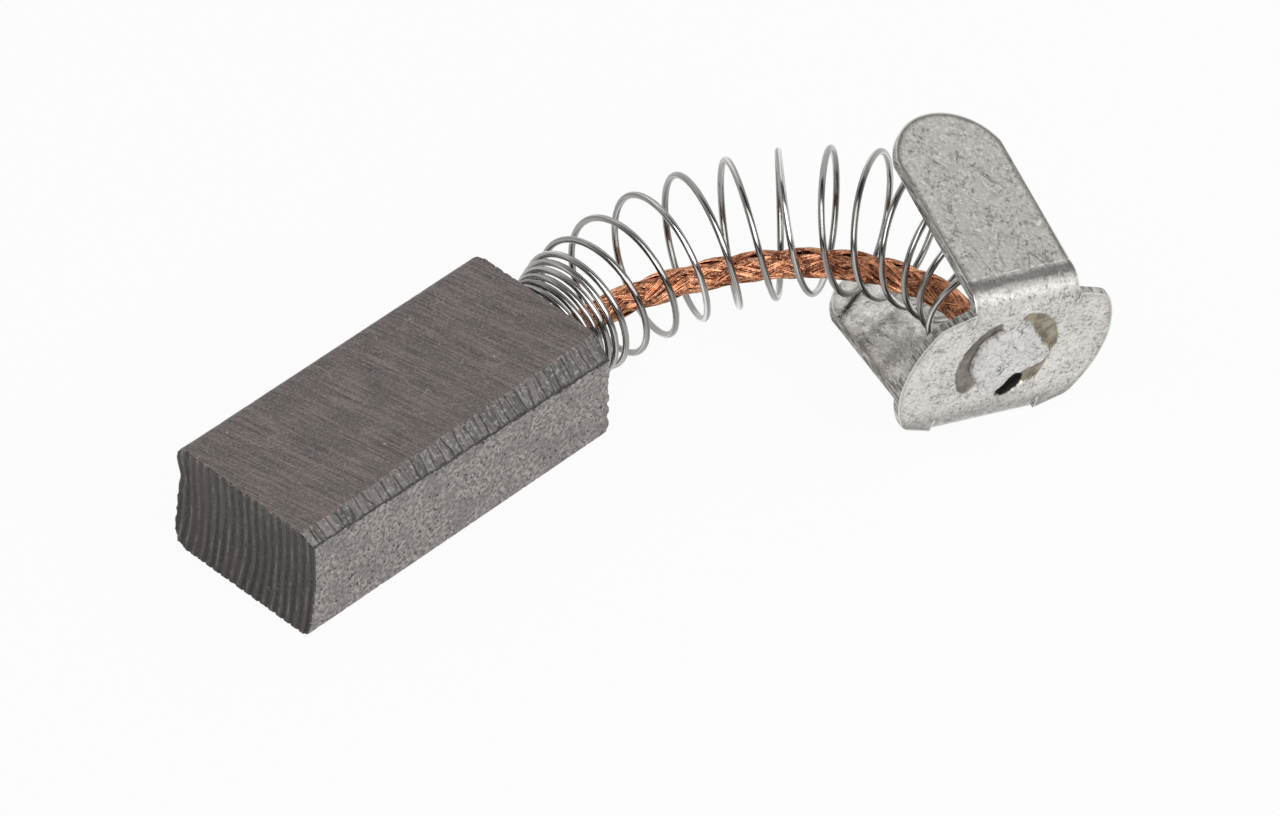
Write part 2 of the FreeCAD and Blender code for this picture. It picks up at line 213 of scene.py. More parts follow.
class BrushSpringSettings(bpy.types.PropertyGroup):
    """Looks of the spring's wire."""
    wire_sides: bpy.props.IntProperty(
        name="Wire Sides", description="Sides of the wire's round section",
        default=12, min=6, max=24)
    steps_per_turn: bpy.props.IntProperty(
        name="Steps Per Turn", description="Sections of wire in one turn",
        default=44, min=12, max=96)
    wire_colour: bpy.props.FloatVectorProperty(
        name="Wire", description="Colour of the drawn steel wire",
        subtype="COLOR", size=4, default=(0.33, 0.322, 0.31, 1.0), min=0.0, max=1.0)
    # The darker streaks are partly drawing marks and partly painted dark reflections
    streak_colour: bpy.props.FloatVectorProperty(
        name="Wire Streaks", description="Colour of the darker drawn streaks",
        subtype="COLOR", size=4, default=(0.2, 0.192, 0.182, 1.0), min=0.0, max=1.0)


class BrushTerminalSettings(bpy.types.PropertyGroup):
    """Sizes and colours of the terminal cap and its solder."""
    edge_round: bpy.props.FloatProperty(
        name="Edge Round", description="Rounding of the sheet's sheared edges in millimetres",
        default=0.09, min=0.0, max=0.15)
    buckle: bpy.props.FloatProperty(
        name="Buckle", description="How far the thin sheet wanders from flat in millimetres",
        default=0.025, min=0.0, max=0.1)
    sheet_colour: bpy.props.FloatVectorProperty(
        name="Tinned Sheet", description="Colour of the clean tinned sheet",
        subtype="COLOR", size=4, default=(0.76, 0.735, 0.695, 1.0), min=0.0, max=1.0)
    stain_colour: bpy.props.FloatVectorProperty(
        name="Stain", description="Colour of the dull specks and stains",
        subtype="COLOR", size=4, default=(0.2, 0.185, 0.165, 1.0), min=0.0, max=1.0)
    solder_colour: bpy.props.FloatVectorProperty(
        name="Solder", description="Colour of the frosted solder",
        subtype="COLOR", size=4, default=(0.95, 0.935, 0.91, 1.0), min=0.0, max=1.0)


class BrushStageSettings(bpy.types.PropertyGroup):
    """Light and floor."""
    floor_colour: bpy.props.FloatVectorProperty(
        name="Floor", description="Colour of the pale floor",
        subtype="COLOR", size=4, default=(0.86, 0.86, 0.86, 1.0), min=0.0, max=1.0)
    floor_whiteness: bpy.props.FloatProperty(
        name="Floor Whiteness", description="Share of plain white in the floor as the camera sees it",
        default=0.94, min=0.0, max=1.0, subtype="FACTOR")
    card_shade: bpy.props.FloatProperty(
        name="Dark Card", description="Brightness of the large dark card that shiny metal reflects",
        default=0.06, min=0.0, max=1.0, subtype="FACTOR")
    bright_card: bpy.props.FloatProperty(
        name="Bright Card", description="Brightness of the card beside the camera that shiny metal reflects",
        default=4.0, min=0.0, max=10.0)
    key_power: bpy.props.FloatProperty(
        name="Key Light", description="Power of the large soft light",
        default=0.5, min=0.0, unit="POWER")
    fill_power: bpy.props.FloatProperty(
        name="Fill Light", description="Power of the weaker light from the other side",
        default=0.12, min=0.0, unit="POWER")
    ambient: bpy.props.FloatProperty(
        name="Ambient", description="Strength of the light from all round",
        default=0.5, min=0.0, max=2.0)


# Shader helpers

def add(tree, kind, values=None, links=None, **settings):
    """Put a node in a shader tree, with its settings, plain values and links."""
    made = tree.nodes.new("ShaderNode" + kind)
    for name, value in settings.items():
        setattr(made, name, value)
    for name, value in (values or {}).items():
        made.inputs[name].default_value = value
    for name, output in (links or {}).items():
        tree.links.new(output, made.inputs[name])
    return made


def calculate(tree, operation, first, second=0.0):
    """A Math node whose two inputs are links or plain numbers."""
    made = tree.nodes.new("ShaderNodeMath")
    made.operation = operation
    for index, value in enumerate((first, second)):
        if isinstance(value, (int, float)):
            made.inputs[index].default_value = value
        else:
            tree.links.new(value, made.inputs[index])
    return made.outputs[0]


def both(tree, first, second):
    """A mask only as strong as two masks are together."""
    return calculate(tree, "MULTIPLY", first, second)


def ruffle(tree, value, unevenness, amount):
    """A value shifted unevenly, by at most an amount."""
    return calculate(tree, "ADD", value, calculate(tree, "MULTIPLY", unevenness, amount))


def blend_colours(tree, mask, first, second):
    """The first colour where the mask is 0 and the second where it is 1."""
    made = add(tree, "Mix", data_type="RGBA")
    for index, value in ((0, mask), (6, first), (7, second)):
        if hasattr(value, "is_linked"):
            tree.links.new(value, made.inputs[index])
        else:
            made.inputs[index].default_value = value
    return made.outputs[2]


def soft_mask(tree, value, low, high, dim=0.0, full=1.0):
    """A value turned into a mask that rises softly between two limits."""
    made = add(tree, "MapRange", {"From Min": low, "From Max": high, "To Min": dim, "To Max": full},
               {"Value": value}, interpolation_type="SMOOTHSTEP")
    return made.outputs[0]


def paint(tree, colour, coats):
    """Coats of colour laid over one another, each where its mask rises between its limits."""
    for mask, limits, over in coats:
        colour = blend_colours(tree, soft_mask(tree, mask, *limits), colour, over)
    return colour


def place_in_millimetres(tree, turn=(0.0, 0.0, 0.0)):
    """Object coordinates in millimetres, turned so that lines can run aslant."""
    source = add(tree, "TexCoord")
    mapping = add(tree, "Mapping", {"Scale": (1000.0, 1000.0, 1000.0), "Rotation": turn},
                  {"Vector": source.outputs["Object"]})
    return mapping.outputs[0]


def place_on_sheet(tree, turn=(0.0, 0.0, 0.0)):
    """A point's millimetres across, up and out of the cap's plate, from before it was laid down."""
    source = add(tree, "Attribute", attribute_name="flat_place")
    mapping = add(tree, "Mapping", {"Rotation": turn}, {"Vector": source.outputs["Vector"]})
    return mapping.outputs[0]


def bump(tree, height, distance, strength):
    """A bump whose full height is a distance in millimetres."""
    return add(tree, "Bump", {"Strength": strength, "Distance": distance * MM},
               {"Height": height}).outputs[0]


def empty_tree(owner):
    """The shader tree of a material or world, with nothing in it yet."""
    owner.use_nodes = True
    owner.node_tree.nodes.clear()
    return owner.node_tree


def new_material(name, **values):
    """A material with one Principled shader and the values that are the same all over."""
    material = bpy.data.materials.new(name)
    tree = empty_tree(material)
    shader = add(tree, "BsdfPrincipled")
    for key, value in values.items():
        shader.inputs[key.replace("_", " ").title().replace("Ior", "IOR")].default_value = value
    output = add(tree, "OutputMaterial")
    tree.links.new(shader.outputs[0], output.inputs[0])
    return material, tree, shader


def feed(tree, shader, **sources):
    """Link changing colours, roughness and normals to the Principled shader."""
    for key, output in sources.items():
        tree.links.new(output, shader.inputs[key.replace("_", " ").title()])


def socket_group(name, inputs, outputs):
    """An empty shader group with named inputs and outputs, and its two end nodes."""
    tree = bpy.data.node_groups.new(name, "ShaderNodeTree")
    for label, kind, default in inputs:
        socket = tree.interface.new_socket(name=label, in_out="INPUT", socket_type=kind)
        if default is not None:
            socket.default_value = default
    for label, kind in outputs:
        tree.interface.new_socket(name=label, in_out="OUTPUT", socket_type=kind)
    return tree, tree.nodes.new("NodeGroupInput"), tree.nodes.new("NodeGroupOutput")


def use_group(tree, name, place, **values):
    """A shared shader group placed in a material, with this material's own values."""
    made = tree.nodes.new("ShaderNodeGroup")
    made.node_tree = bpy.data.node_groups[name]
    tree.links.new(place, made.inputs["Place"])
    for key, value in values.items():
        made.inputs[key.replace("_", " ").title()].default_value = value
    return made.outputs[0]


def make_fine_lines_group():
    """Streaks that are long one way and narrow the other, such as grinding or drawing lines."""
    tree, start, end = socket_group(
        "Fine Lines",
        [("Place", "NodeSocketVector", None), ("Stretch", "NodeSocketVector", (1.0, 1.0, 1.0)),
         ("Roughness", "NodeSocketFloat", 0.6)],
        [("Lines", "NodeSocketFloat")])
    stretched = add(tree, "VectorMath", operation="MULTIPLY",
                    links={0: start.outputs["Place"], 1: start.outputs["Stretch"]})
    grain = add(tree, "TexNoise", {"Scale": 1.0, "Detail": 4.0},
                {"Vector": stretched.outputs[0], "Roughness": start.outputs["Roughness"]})
    tree.links.new(soft_mask(tree, grain.outputs[0], 0.28, 0.72), end.inputs["Lines"])


def make_specks_group():
    """Small round specks or pits, of which only a share is shown."""
    tree, start, end = socket_group(
        "Specks",
        [("Place", "NodeSocketVector", None), ("Scale", "NodeSocketFloat", 1.0),
         ("Size", "NodeSocketFloat", 0.2), ("Share", "NodeSocketFloat", 0.5)],
        [("Specks", "NodeSocketFloat")])
    cells = add(tree, "TexVoronoi",
                links={"Vector": start.outputs["Place"], "Scale": start.outputs["Scale"]})
    inside = calculate(tree, "SUBTRACT", start.outputs["Size"], cells.outputs["Distance"])
    sharp = calculate(tree, "DIVIDE", inside, start.outputs["Size"])
    shape = soft_mask(tree, sharp, 0.0, 0.6)
    pick = add(tree, "SeparateColor", links={0: cells.outputs["Color"]})
    chosen = calculate(tree, "LESS_THAN", pick.outputs[0], start.outputs["Share"])
    tree.links.new(calculate(tree, "MULTIPLY", shape, chosen), end.inputs["Specks"])


def make_mottle_group():
    """Uneven patches at one scale with finer ones inside them."""
    tree, start, end = socket_group(
        "Mottle",
        [("Place", "NodeSocketVector", None), ("Scale", "NodeSocketFloat", 1.0),
         ("Detail", "NodeSocketFloat", 5.0), ("Roughness", "NodeSocketFloat", 0.6)],
        [("Patches", "NodeSocketFloat")])
    cloud = add(tree, "TexNoise",
                links={"Vector": start.outputs["Place"], "Scale": start.outputs["Scale"],
                       "Detail": start.outputs["Detail"], "Roughness": start.outputs["Roughness"]})
    tree.links.new(soft_mask(tree, cloud.outputs[0], 0.3, 0.7), end.inputs["Patches"])


def make_hairlines_group():
    """Thin stray scratches that curve and break off."""
    tree, start, end = socket_group(
        "Hairlines",
        [("Place", "NodeSocketVector", None), ("Scale", "NodeSocketFloat", 0.4),
         ("Width", "NodeSocketFloat", 0.006), ("Share", "NodeSocketFloat", 0.4)],
        [("Hairlines", "NodeSocketFloat")])
    level = add(tree, "TexNoise", {"Detail": 1.0, "Distortion": 0.6},
                {"Vector": start.outputs["Place"], "Scale": start.outputs["Scale"]})
    away = calculate(tree, "ABSOLUTE", calculate(tree, "SUBTRACT", level.outputs[0], 0.5))
    near = calculate(tree, "SUBTRACT", start.outputs["Width"], away)
    line = soft_mask(tree, calculate(tree, "DIVIDE", near, start.outputs["Width"]), 0.0, 0.5)
    breaks = add(tree, "TexNoise", {"Scale": 0.9, "Detail": 2.0}, {"Vector": start.outputs["Place"]})
    limit = calculate(tree, "SUBTRACT", 0.8, calculate(tree, "MULTIPLY", start.outputs["Share"], 0.5))
    shown = calculate(tree, "GREATER_THAN", breaks.outputs[0], limit)
    tree.links.new(calculate(tree, "MULTIPLY", line, shown), end.inputs["Hairlines"])


def make_shared_groups():
    """The effects that more than one material uses."""
    make_fine_lines_group()
    make_specks_group()
    make_mottle_group()
    make_hairlines_group()


# Mesh helpers

def put_in_scene(name, data):
    """A new object in the scene, made from a mesh, curve, lamp or camera."""
    made = bpy.data.objects.new(name, data)
    bpy.context.scene.collection.objects.link(made)
    return made


def show(name, mesh, materials, matrix=None):
    """Show a mesh as a smooth piece of the part, laid down by a matrix if one is given."""
    piece = put_in_scene(name, mesh)
    for material in materials:
        mesh.materials.append(material)
    if matrix is not None:
        set_attribute(mesh, "flat_place", [vertex.co / MM for vertex in mesh.vertices], "FLOAT_VECTOR")
        mesh.transform(matrix)
    mesh.shade_smooth()
    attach(piece, BODY)
    return piece


def mesh_from(name, points, faces):
    """A mesh in metres from points in millimetres."""
    mesh = bpy.data.meshes.new(name)
    mesh.from_pydata((np.asarray(points) * MM).tolist(), [], [list(face) for face in faces])
    mesh.update()
    return mesh


def evaluated_mesh(piece):
    """The mesh of a piece with its modifiers worked in."""
    depsgraph = bpy.context.evaluated_depsgraph_get()
    return bpy.data.meshes.new_from_object(piece.evaluated_get(depsgraph))


def bake_modifiers(piece):
    """Work the modifiers of a piece into its mesh."""
    mesh = evaluated_mesh(piece)
    piece.modifiers.clear()
    piece.data = mesh


def set_attribute(mesh, name, values, kind="FLOAT"):
    """Store a value for each point of a mesh, for its material to read."""
    layer = mesh.attributes.new(name, kind, "POINT")
    field = "value" if kind == "FLOAT" else "vector"
    layer.data.foreach_set(field, np.asarray(values, dtype=np.float32).ravel())


def smooth_step(value):
    """A soft change from 0 to 1."""
    value = max(0.0, min(1.0, value))
    return value * value * (3 - 2 * value)


def wire_tubes(lines, outwards, radius, sides):
    """Round wires along lines of points, as points, faces and the line that each belongs to."""
    count, steps, _ = lines.shape
    along = np.gradient(lines, axis=1)
    along /= np.linalg.norm(along, axis=2, keepdims=True)
    across = outwards - along * np.sum(outwards * along, axis=2, keepdims=True)
    across /= np.linalg.norm(across, axis=2, keepdims=True)
    other = np.cross(along, across)
    angles = 2 * math.pi * np.arange(sides) / sides
    rings = (lines[:, :, None] + radius * (across[:, :, None] * np.cos(angles)[:, None]
                                           + other[:, :, None] * np.sin(angles)[:, None]))
    points = rings.reshape(-1, 3)
    faces = []
    for line in range(count):
        base = line * steps * sides
        for step in range(steps - 1):
            low = base + step * sides
            for side in range(sides):
                following = (side + 1) % sides
                faces.append((low + side, low + following, low + sides + following, low + sides + side))
        faces.append(tuple(base + side for side in reversed(range(sides))))
        last = base + (steps - 1) * sides
        faces.append(tuple(last + side for side in range(sides)))
    owner = np.repeat(np.arange(count), steps * sides)
    return points, faces, owner


# Carbon block

def bevel_place(x, y, z):
    """Distance out of the bevel's plane, the share of the way down it and its upper edge."""
    share = (x - block_front) / (block_back - block_front)
    top = bevel_top[0] + share * (bevel_top[1] - bevel_top[0])
    side = bevel_side[0] + share * (bevel_side[1] - bevel_side[0])
    length = math.hypot(top, side)
    edge_y = top - block_side
    out = ((z - block_top) * top - (y - edge_y) * side) / length
    down = -((y - edge_y) * top + (z - block_top) * side) / length**2
    return out, down, math.hypot(y - edge_y, z - block_top)


def edge_distance(x, y, z):
    """Distance from the block's nearest long or short edge, by its two nearest faces."""
    front = block_front - lower_lip * (1 - z / block_top)
    near = sorted((x - front, block_back - x, y + block_side, block_side - y, z, block_top - z))
    return math.hypot(max(near[0], 0.0), near[1])


def wear(point, normal, settings):
    """Where a point of the new block is after wear, and how much burr shows on it."""
    x, y, z = point
    moved = Vector((0.0, 0.0, 0.0))
    burr = 0.0
    out, down, from_edge = bevel_place(x, y, z)
    if normal.x < -0.5 and x < block_front + front_reach:
        fine = noise.noise(Vector((y * 6.5, z * 0.22, 1.7)))
        wide = noise.noise(Vector((y * 1.9, z * 0.3, 8.1)))
        moved.x -= settings.groove_depth * (0.6 * fine + 0.7 * wide)
        bow = noise.noise(Vector((y * 0.3, z * 0.45, 4.4)))
        moved.y += 0.22 * bow * smooth_step((block_side - abs(y)) / 1.2)
    corner = smooth_step(1 - (x - block_front) / 1.3) * smooth_step((y - block_side + 1.1) / 0.9)
    if corner > 0:
        knob = math.exp(-((z - 5.5) / 0.5)**2)
        hollow = math.exp(-((z - 4.2) / 0.55)**2)
        moved.y += corner * (0.07 * knob - 0.2 * hollow)
    back_edge = math.hypot(block_back - x, y + block_side)
    if back_edge < back_edge_reach and z < block_top - 1.3:
        broken = max(0.0, noise.noise(Vector((z * 2.6, 7.7, 1.1))) + 0.25)
        moved -= normal * 0.14 * smooth_step(1 - back_edge / back_edge_reach) * broken
    if abs(out) < 0.2 and -0.1 < down < 1.1:
        cut = noise.noise(Vector((x * 4.6, down * 0.5, 3.3)))
        coarse = noise.noise(Vector((x * 1.7, down * 0.4, 6.3)))
        moved += normal * (0.045 * cut + 0.03 * coarse)
    if from_edge < burr_reach:
        ragged = noise.noise(Vector((x * 2.6, 2.0, z * 2))) + 0.7 * noise.noise(Vector((x * 8.0, 5.0, z * 3)))
        lift = smooth_step(1 - from_edge / burr_reach) * max(0.0, ragged + 0.1)
        moved += Vector((0.0, -0.5, 0.5)) * settings.burr_height * lift
        burr = smooth_step(1 - from_edge / 0.2) * (0.5 + 0.8 * ragged)
    near = edge_distance(x, y, z)
    if near < chip_reach and from_edge > 0.3:
        chip = noise.noise(Vector((x * 2.1, y * 2.1, z * 2.1)))
        small = noise.noise(Vector((x * 6.0, y * 6.0, z * 6.0)))
        bite = max(0.0, chip + 0.5 * small - 0.2) * smooth_step(1 - near / chip_reach)
        moved -= normal * settings.chip_depth * bite
        front_edge = math.hypot(x - block_front, z - block_top)
        if front_edge < 0.2:
            burr = max(burr, 0.5 + 0.7 * noise.noise(Vector((y * 3.0, 3.0, 1.0))))
    return point + moved, max(0.0, min(1.0, burr))


def face_finish(centre, normal):
    """Which of the block's finishes a face has: 0 ground, 1 pressed, 2 rubbed, 3 bevel."""
    out, down, _ = bevel_place(*centre)
    if centre.x < block_front + 0.8 and normal.x < -0.55:
        return 2
    if abs(out) < 0.22 and -0.02 < down < 1.0 and normal.y < -0.2 and normal.z > 0.15:
        return 3
    if abs(normal.y) > 0.75 or normal.x > 0.6:
        return 1
    return 0


def carbon_mesh(settings):
    """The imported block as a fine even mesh, with grooves, chips and burr worked into it."""
    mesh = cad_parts["carbon_block"].data.copy()
    mesh.materials.clear()
    mesh.transform(Matrix.Scale(1 / MM, 4))
    shape = bmesh.new()
    shape.from_mesh(mesh)
    bmesh.ops.remove_doubles(shape, verts=shape.verts, dist=0.002)
    shape.to_mesh(mesh)
    shape.free()
    piece = put_in_scene("carbon_body", mesh)
    grain = piece.modifiers.new("grain", "REMESH")
    grain.mode = "VOXEL"
    grain.voxel_size = settings.grain_size
    bake_modifiers(piece)
    mesh = piece.data
    burrs = []
    places = []
    marks = []
    for vertex in mesh.vertices:
        place, burr = wear(vertex.co, vertex.normal, settings)
        places.append(place * MM)
        burrs.append(burr)
        marks.append((vertex.co.x - block_front, vertex.co.y, bevel_place(*vertex.co)[1]))
    finishes = [face_finish(face.center, face.normal) for face in mesh.polygons]
    mesh.vertices.foreach_set("co", np.array(places, dtype=np.float32).ravel())
    mesh.polygons.foreach_set("material_index", finishes)
    set_attribute(mesh, "burr", burrs)
    set_attribute(mesh, "unworn_place", marks, "FLOAT_VECTOR")
    mesh.update()
    bpy.data.objects.remove(piece)
    return mesh


def shade_of(colour, factor):
    """A colour made darker or lighter by a factor."""
    return (colour[0] * factor, colour[1] * factor, colour[2] * factor, 1.0)


def unworn_place(tree):
    """Where a point of the block was before wear: along it, across it and down the bevel."""
    source = add(tree, "Attribute", attribute_name="unworn_place")
    return add(tree, "SeparateXYZ", links={0: source.outputs["Vector"]}).outputs


def add_burr(tree, colour, settings, place):
    """The broken burr on an edge, part bright and part coppery."""
    burr = add(tree, "Attribute", attribute_name="burr").outputs["Fac"]
    crumbs = use_group(tree, "Mottle", place, scale=7.0, detail=3.0, roughness=0.7)
    shown = both(tree, soft_mask(tree, burr, 0.1, 0.9), soft_mask(tree, crumbs, 0.45, 0.75))
    tint = use_group(tree, "Mottle", place, scale=1.7, detail=1.0, roughness=0.5)
    crumb_colour = blend_colours(tree, tint, settings.burr_colour, (0.46, 0.41, 0.37, 1.0))
    return blend_colours(tree, shown, colour, crumb_colour)


def ground_carbon(settings):
    """Sawn and ground upper face: fine lines across it, light grains, specks and scratches."""
    material, tree, shader = new_material("ground_carbon", specular_ior_level=0.45)
    place = place_in_millimetres(tree, (0.0, 0.0, math.radians(-10.8)))
    slanting = place_in_millimetres(tree, (0.0, 0.0, math.radians(24.0)))
    fine = use_group(tree, "Fine Lines", place, stretch=(8.5, 0.3, 3.0), roughness=0.72)
    wide = use_group(tree, "Fine Lines", place, stretch=(3.0, 0.1, 1.0), roughness=0.6)
    patches = use_group(tree, "Mottle", place, scale=0.5, detail=4.0, roughness=0.6)
    grain = use_group(tree, "Mottle", place, scale=9.0, detail=3.0, roughness=0.7)
    specks = use_group(tree, "Specks", place, scale=2.8, size=0.16, share=0.3)
    big_specks = use_group(tree, "Specks", place, scale=0.8, size=0.07, share=0.4)
    scratches = use_group(tree, "Hairlines", place, scale=0.4, width=0.006, share=0.5)
    long_scratches = use_group(tree, "Fine Lines", slanting, stretch=(0.25, 8.0, 1.0), roughness=0.5)
    base = settings.ground_colour
    calm = soft_mask(tree, patches, 0.1, 0.8, 0.45, 1.0)
    lined = blend_colours(tree, soft_mask(tree, fine, 0.1, 0.9), shade_of(base, 0.4), shade_of(base, 1.5))
    colour = blend_colours(tree, calm, shade_of(base, 0.95), lined)
    colour = paint(tree, colour, [
        (wide, (0.55, 1.0, 0.0, 0.5), shade_of(base, 0.55)),
        (patches, (0.3, 1.0, 0.0, 0.4), shade_of(base, 1.3)),
        (grain, (0.6, 1.0, 0.0, 0.6), shade_of(base, 2.1)),
        (grain, (0.4, 0.0, 0.0, 0.6), shade_of(base, 0.45)),
    ])
    stray = both(tree, soft_mask(tree, long_scratches, 0.9, 1.0), soft_mask(tree, patches, 0.55, 0.8))
    colour = paint(tree, colour, [
        (stray, (0.0, 1.0, 0.0, 0.7), (0.3, 0.27, 0.25, 1.0)),
        (specks, (0.0, 1.0, 0.0, 0.7), (0.34, 0.3, 0.28, 1.0)),
    ])
    colour = blend_colours(tree, big_specks, colour, (0.55, 0.5, 0.47, 1.0))
    colour = paint(tree, colour, [
        (scratches, (0.0, 1.0, 0.0, 0.55), (0.32, 0.29, 0.27, 1.0)),
    ])
    colour = add_burr(tree, colour, settings, place)
    height = calculate(tree, "ADD", calculate(tree, "MULTIPLY", fine, 0.5),
                       calculate(tree, "MULTIPLY", grain, 0.5))
    feed(tree, shader, base_color=colour,
         roughness=soft_mask(tree, fine, 0.0, 1.0, 0.66, 0.5),
         normal=bump(tree, height, 0.01, 0.8))
    return material


def pressed_carbon(settings):
    """Pressed sides: mottled grey, paler than the carbon's own colour as painted sheen, with dark pores and
    light flecks.
    """
    material, tree, shader = new_material("pressed_carbon", specular_ior_level=0.5)
    place = place_in_millimetres(tree, (0.0, math.radians(35.0), 0.0))
    grain = use_group(tree, "Mottle", place, scale=4.2, detail=5.0, roughness=0.75)
    clouds = use_group(tree, "Mottle", place, scale=0.6, detail=4.0, roughness=0.6)
    marks = use_group(tree, "Fine Lines", place, stretch=(2.6, 5.0, 6.5), roughness=0.65)
    pores = use_group(tree, "Specks", place, scale=3.0, size=0.32, share=0.34)
    pits = use_group(tree, "Specks", place, scale=1.5, size=0.19, share=0.35)
    flecks = use_group(tree, "Specks", place, scale=4.0, size=0.26, share=0.3)
    # The side colour carries painted sheen that makes it pale
    base = settings.side_colour
    colour = blend_colours(tree, soft_mask(tree, grain, 0.15, 0.85),
                           shade_of(base, 0.5), shade_of(base, 1.55))
    colour = paint(tree, colour, [
        (clouds, (0.35, 0.9, 0.0, 0.55), shade_of(base, 0.6)),
        (marks, (0.7, 1.0, 0.0, 0.6), shade_of(base, 0.3)),
        (flecks, (0.0, 1.0, 0.0, 0.6), shade_of(base, 1.9)),
    ])
    dark = calculate(tree, "MAXIMUM", pores, pits)
    colour = paint(tree, colour, [
        (dark, (0.1, 0.8, 0.0, 0.9), (0.03, 0.027, 0.025, 1.0)),
    ])
    colour = add_burr(tree, colour, settings, place)
    height = calculate(tree, "SUBTRACT", grain, calculate(tree, "MULTIPLY", dark, 1.4))
    feed(tree, shader, base_color=colour,
         roughness=soft_mask(tree, grain, 0.0, 1.0, 0.68, 0.5),
         normal=bump(tree, height, 0.035, 0.9))
    return material


def rubbed_carbon(settings):
    """Rubbing face: bands round the commutator with painted shade in their valleys, a painted shadow beside
    each crest, and thin light crests between them.
    """
    material, tree, shader = new_material("rubbed_carbon", specular_ior_level=0.5)
    place = place_in_millimetres(tree)
    across = unworn_place(tree)[1]
    streaks = use_group(tree, "Fine Lines", place, stretch=(0.3, 11.0, 0.2), roughness=0.75)
    broad = use_group(tree, "Fine Lines", place, stretch=(0.1, 0.8, 0.1), roughness=0.45)
    grain = use_group(tree, "Mottle", place, scale=6.0, detail=2.0, roughness=0.6)
    crumbs = use_group(tree, "Mottle", place, scale=2.6, detail=5.0, roughness=0.8)
    specks = use_group(tree, "Specks", place, scale=1.4, size=0.09, share=0.3)
    turns = calculate(tree, "ADD", calculate(tree, "DIVIDE", across, ripple_pitch), 0.5)
    phase = calculate(tree, "SUBTRACT", calculate(tree, "FRACT", turns), 0.5)
    away = calculate(tree, "MULTIPLY", calculate(tree, "ABSOLUTE", phase), ripple_pitch)
    ragged = ruffle(tree, away, crumbs, 0.07)
    broken = use_group(tree, "Fine Lines", place, stretch=(0.5, 2.0, 1.1), roughness=0.7)
    crest = both(tree, soft_mask(tree, ragged, 0.1, 0.05), soft_mask(tree, broken, 0.3, 0.75))
    beside = soft_mask(tree, phase, 0.02, 0.22, 1.0, 0.0)
    base = settings.rubbed_colour
    colour = blend_colours(tree, streaks, shade_of(base, 0.85), shade_of(base, 2.4))
    # Painted shade darkens the valleys between the ripples
    wandering = ruffle(tree, away, crumbs, 0.05)
    valley = soft_mask(tree, wandering, 0.08, 0.26)
    colour = paint(tree, colour, [
        (valley, (0.0, 1.0, 0.0, 0.95), shade_of(base, 0.16)),
        (broad, (0.45, 1.0, 0.0, 0.45), (base[0] * 1.9, base[1] * 1.55, base[2] * 1.5, 1.0)),
    ])
    # Painted shadow on one side of each crest
    shadowed = both(tree, soft_mask(tree, phase, 0.0, 0.03), beside)
    colour = paint(tree, colour, [
        (shadowed, (0.0, 1.0, 0.0, 0.7), shade_of(base, 0.4)),
        (grain, (0.6, 1.0, 0.0, 0.5), shade_of(base, 2.4)),
        (crest, (0.0, 1.0, 0.0, 0.75), (0.25, 0.225, 0.21, 1.0)),
        (specks, (0.0, 1.0, 0.0, 0.7), (0.4, 0.37, 0.35, 1.0)),
    ])
    colour = add_burr(tree, colour, settings, place)
    height = calculate(tree, "ADD", calculate(tree, "MULTIPLY", streaks, 0.4),
                       calculate(tree, "MULTIPLY", crest, 0.8))
    feed(tree, shader, base_color=colour,
         roughness=soft_mask(tree, streaks, 0.0, 1.0, 0.62, 0.44),
         normal=bump(tree, height, 0.03, 0.9))
    return material


def cut_carbon(settings):
    """Milled bevel: short facets side by side, each of its own tone, with dark lines between."""
    material, tree, shader = new_material("cut_carbon", specular_ior_level=0.55)
    place = place_in_millimetres(tree)
    along, _, down = unworn_place(tree)
    wander = use_group(tree, "Fine Lines", place, stretch=(0.9, 0.3, 0.3), roughness=0.5)
    turns = calculate(tree, "ADD", calculate(tree, "DIVIDE", along, facet_pitch),
                      calculate(tree, "MULTIPLY", wander, 0.5))
    tone = add(tree, "TexWhiteNoise", noise_dimensions="1D",
               links={"W": calculate(tree, "FLOOR", turns)}).outputs["Value"]
    phase = calculate(tree, "FRACT", turns)
    lines = use_group(tree, "Fine Lines", place, stretch=(7.0, 0.8, 0.8), roughness=0.65)
    grain = use_group(tree, "Mottle", place, scale=5.0, detail=3.0, roughness=0.7)
    crumbs = use_group(tree, "Mottle", place, scale=2.0, detail=5.0, roughness=0.8)
    colour = blend_colours(tree, tone, (0.115, 0.1, 0.093, 1.0), (0.27, 0.238, 0.225, 1.0))
    colour = paint(tree, colour, [
        (phase, (0.15, 1.0, 0.0, 0.55), (0.1, 0.094, 0.091, 1.0)),
        (lines, (0.5, 0.0, 0.0, 0.8), (0.04, 0.036, 0.034, 1.0)),
        (lines, (0.7, 1.0, 0.0, 0.5), (0.37, 0.335, 0.32, 1.0)),
        (grain, (0.62, 1.0, 0.0, 0.6), (0.5, 0.48, 0.47, 1.0)),
    ])
    edge = ruffle(tree, phase, crumbs, 0.12)
    gap = soft_mask(tree, edge, 0.26, 0.1)
    foot = soft_mask(tree, ruffle(tree, down, crumbs, 0.1), 0.9, 1.0)
    dark = calculate(tree, "MAXIMUM", gap, foot)
    colour = paint(tree, colour, [
        (dark, (0.0, 1.0, 0.0, 0.9), (0.018, 0.016, 0.015, 1.0)),
    ])
    colour = add_burr(tree, colour, settings, place)
    height = calculate(tree, "SUBTRACT", calculate(tree, "ADD", calculate(tree, "MULTIPLY", lines, 0.3),
                                                   calculate(tree, "MULTIPLY", grain, 0.3)), dark)
    feed(tree, shader, base_color=colour,
         roughness=soft_mask(tree, grain, 0.0, 1.0, 0.62, 0.4),
         normal=bump(tree, height, 0.06, 0.9))
    return material


# Lead

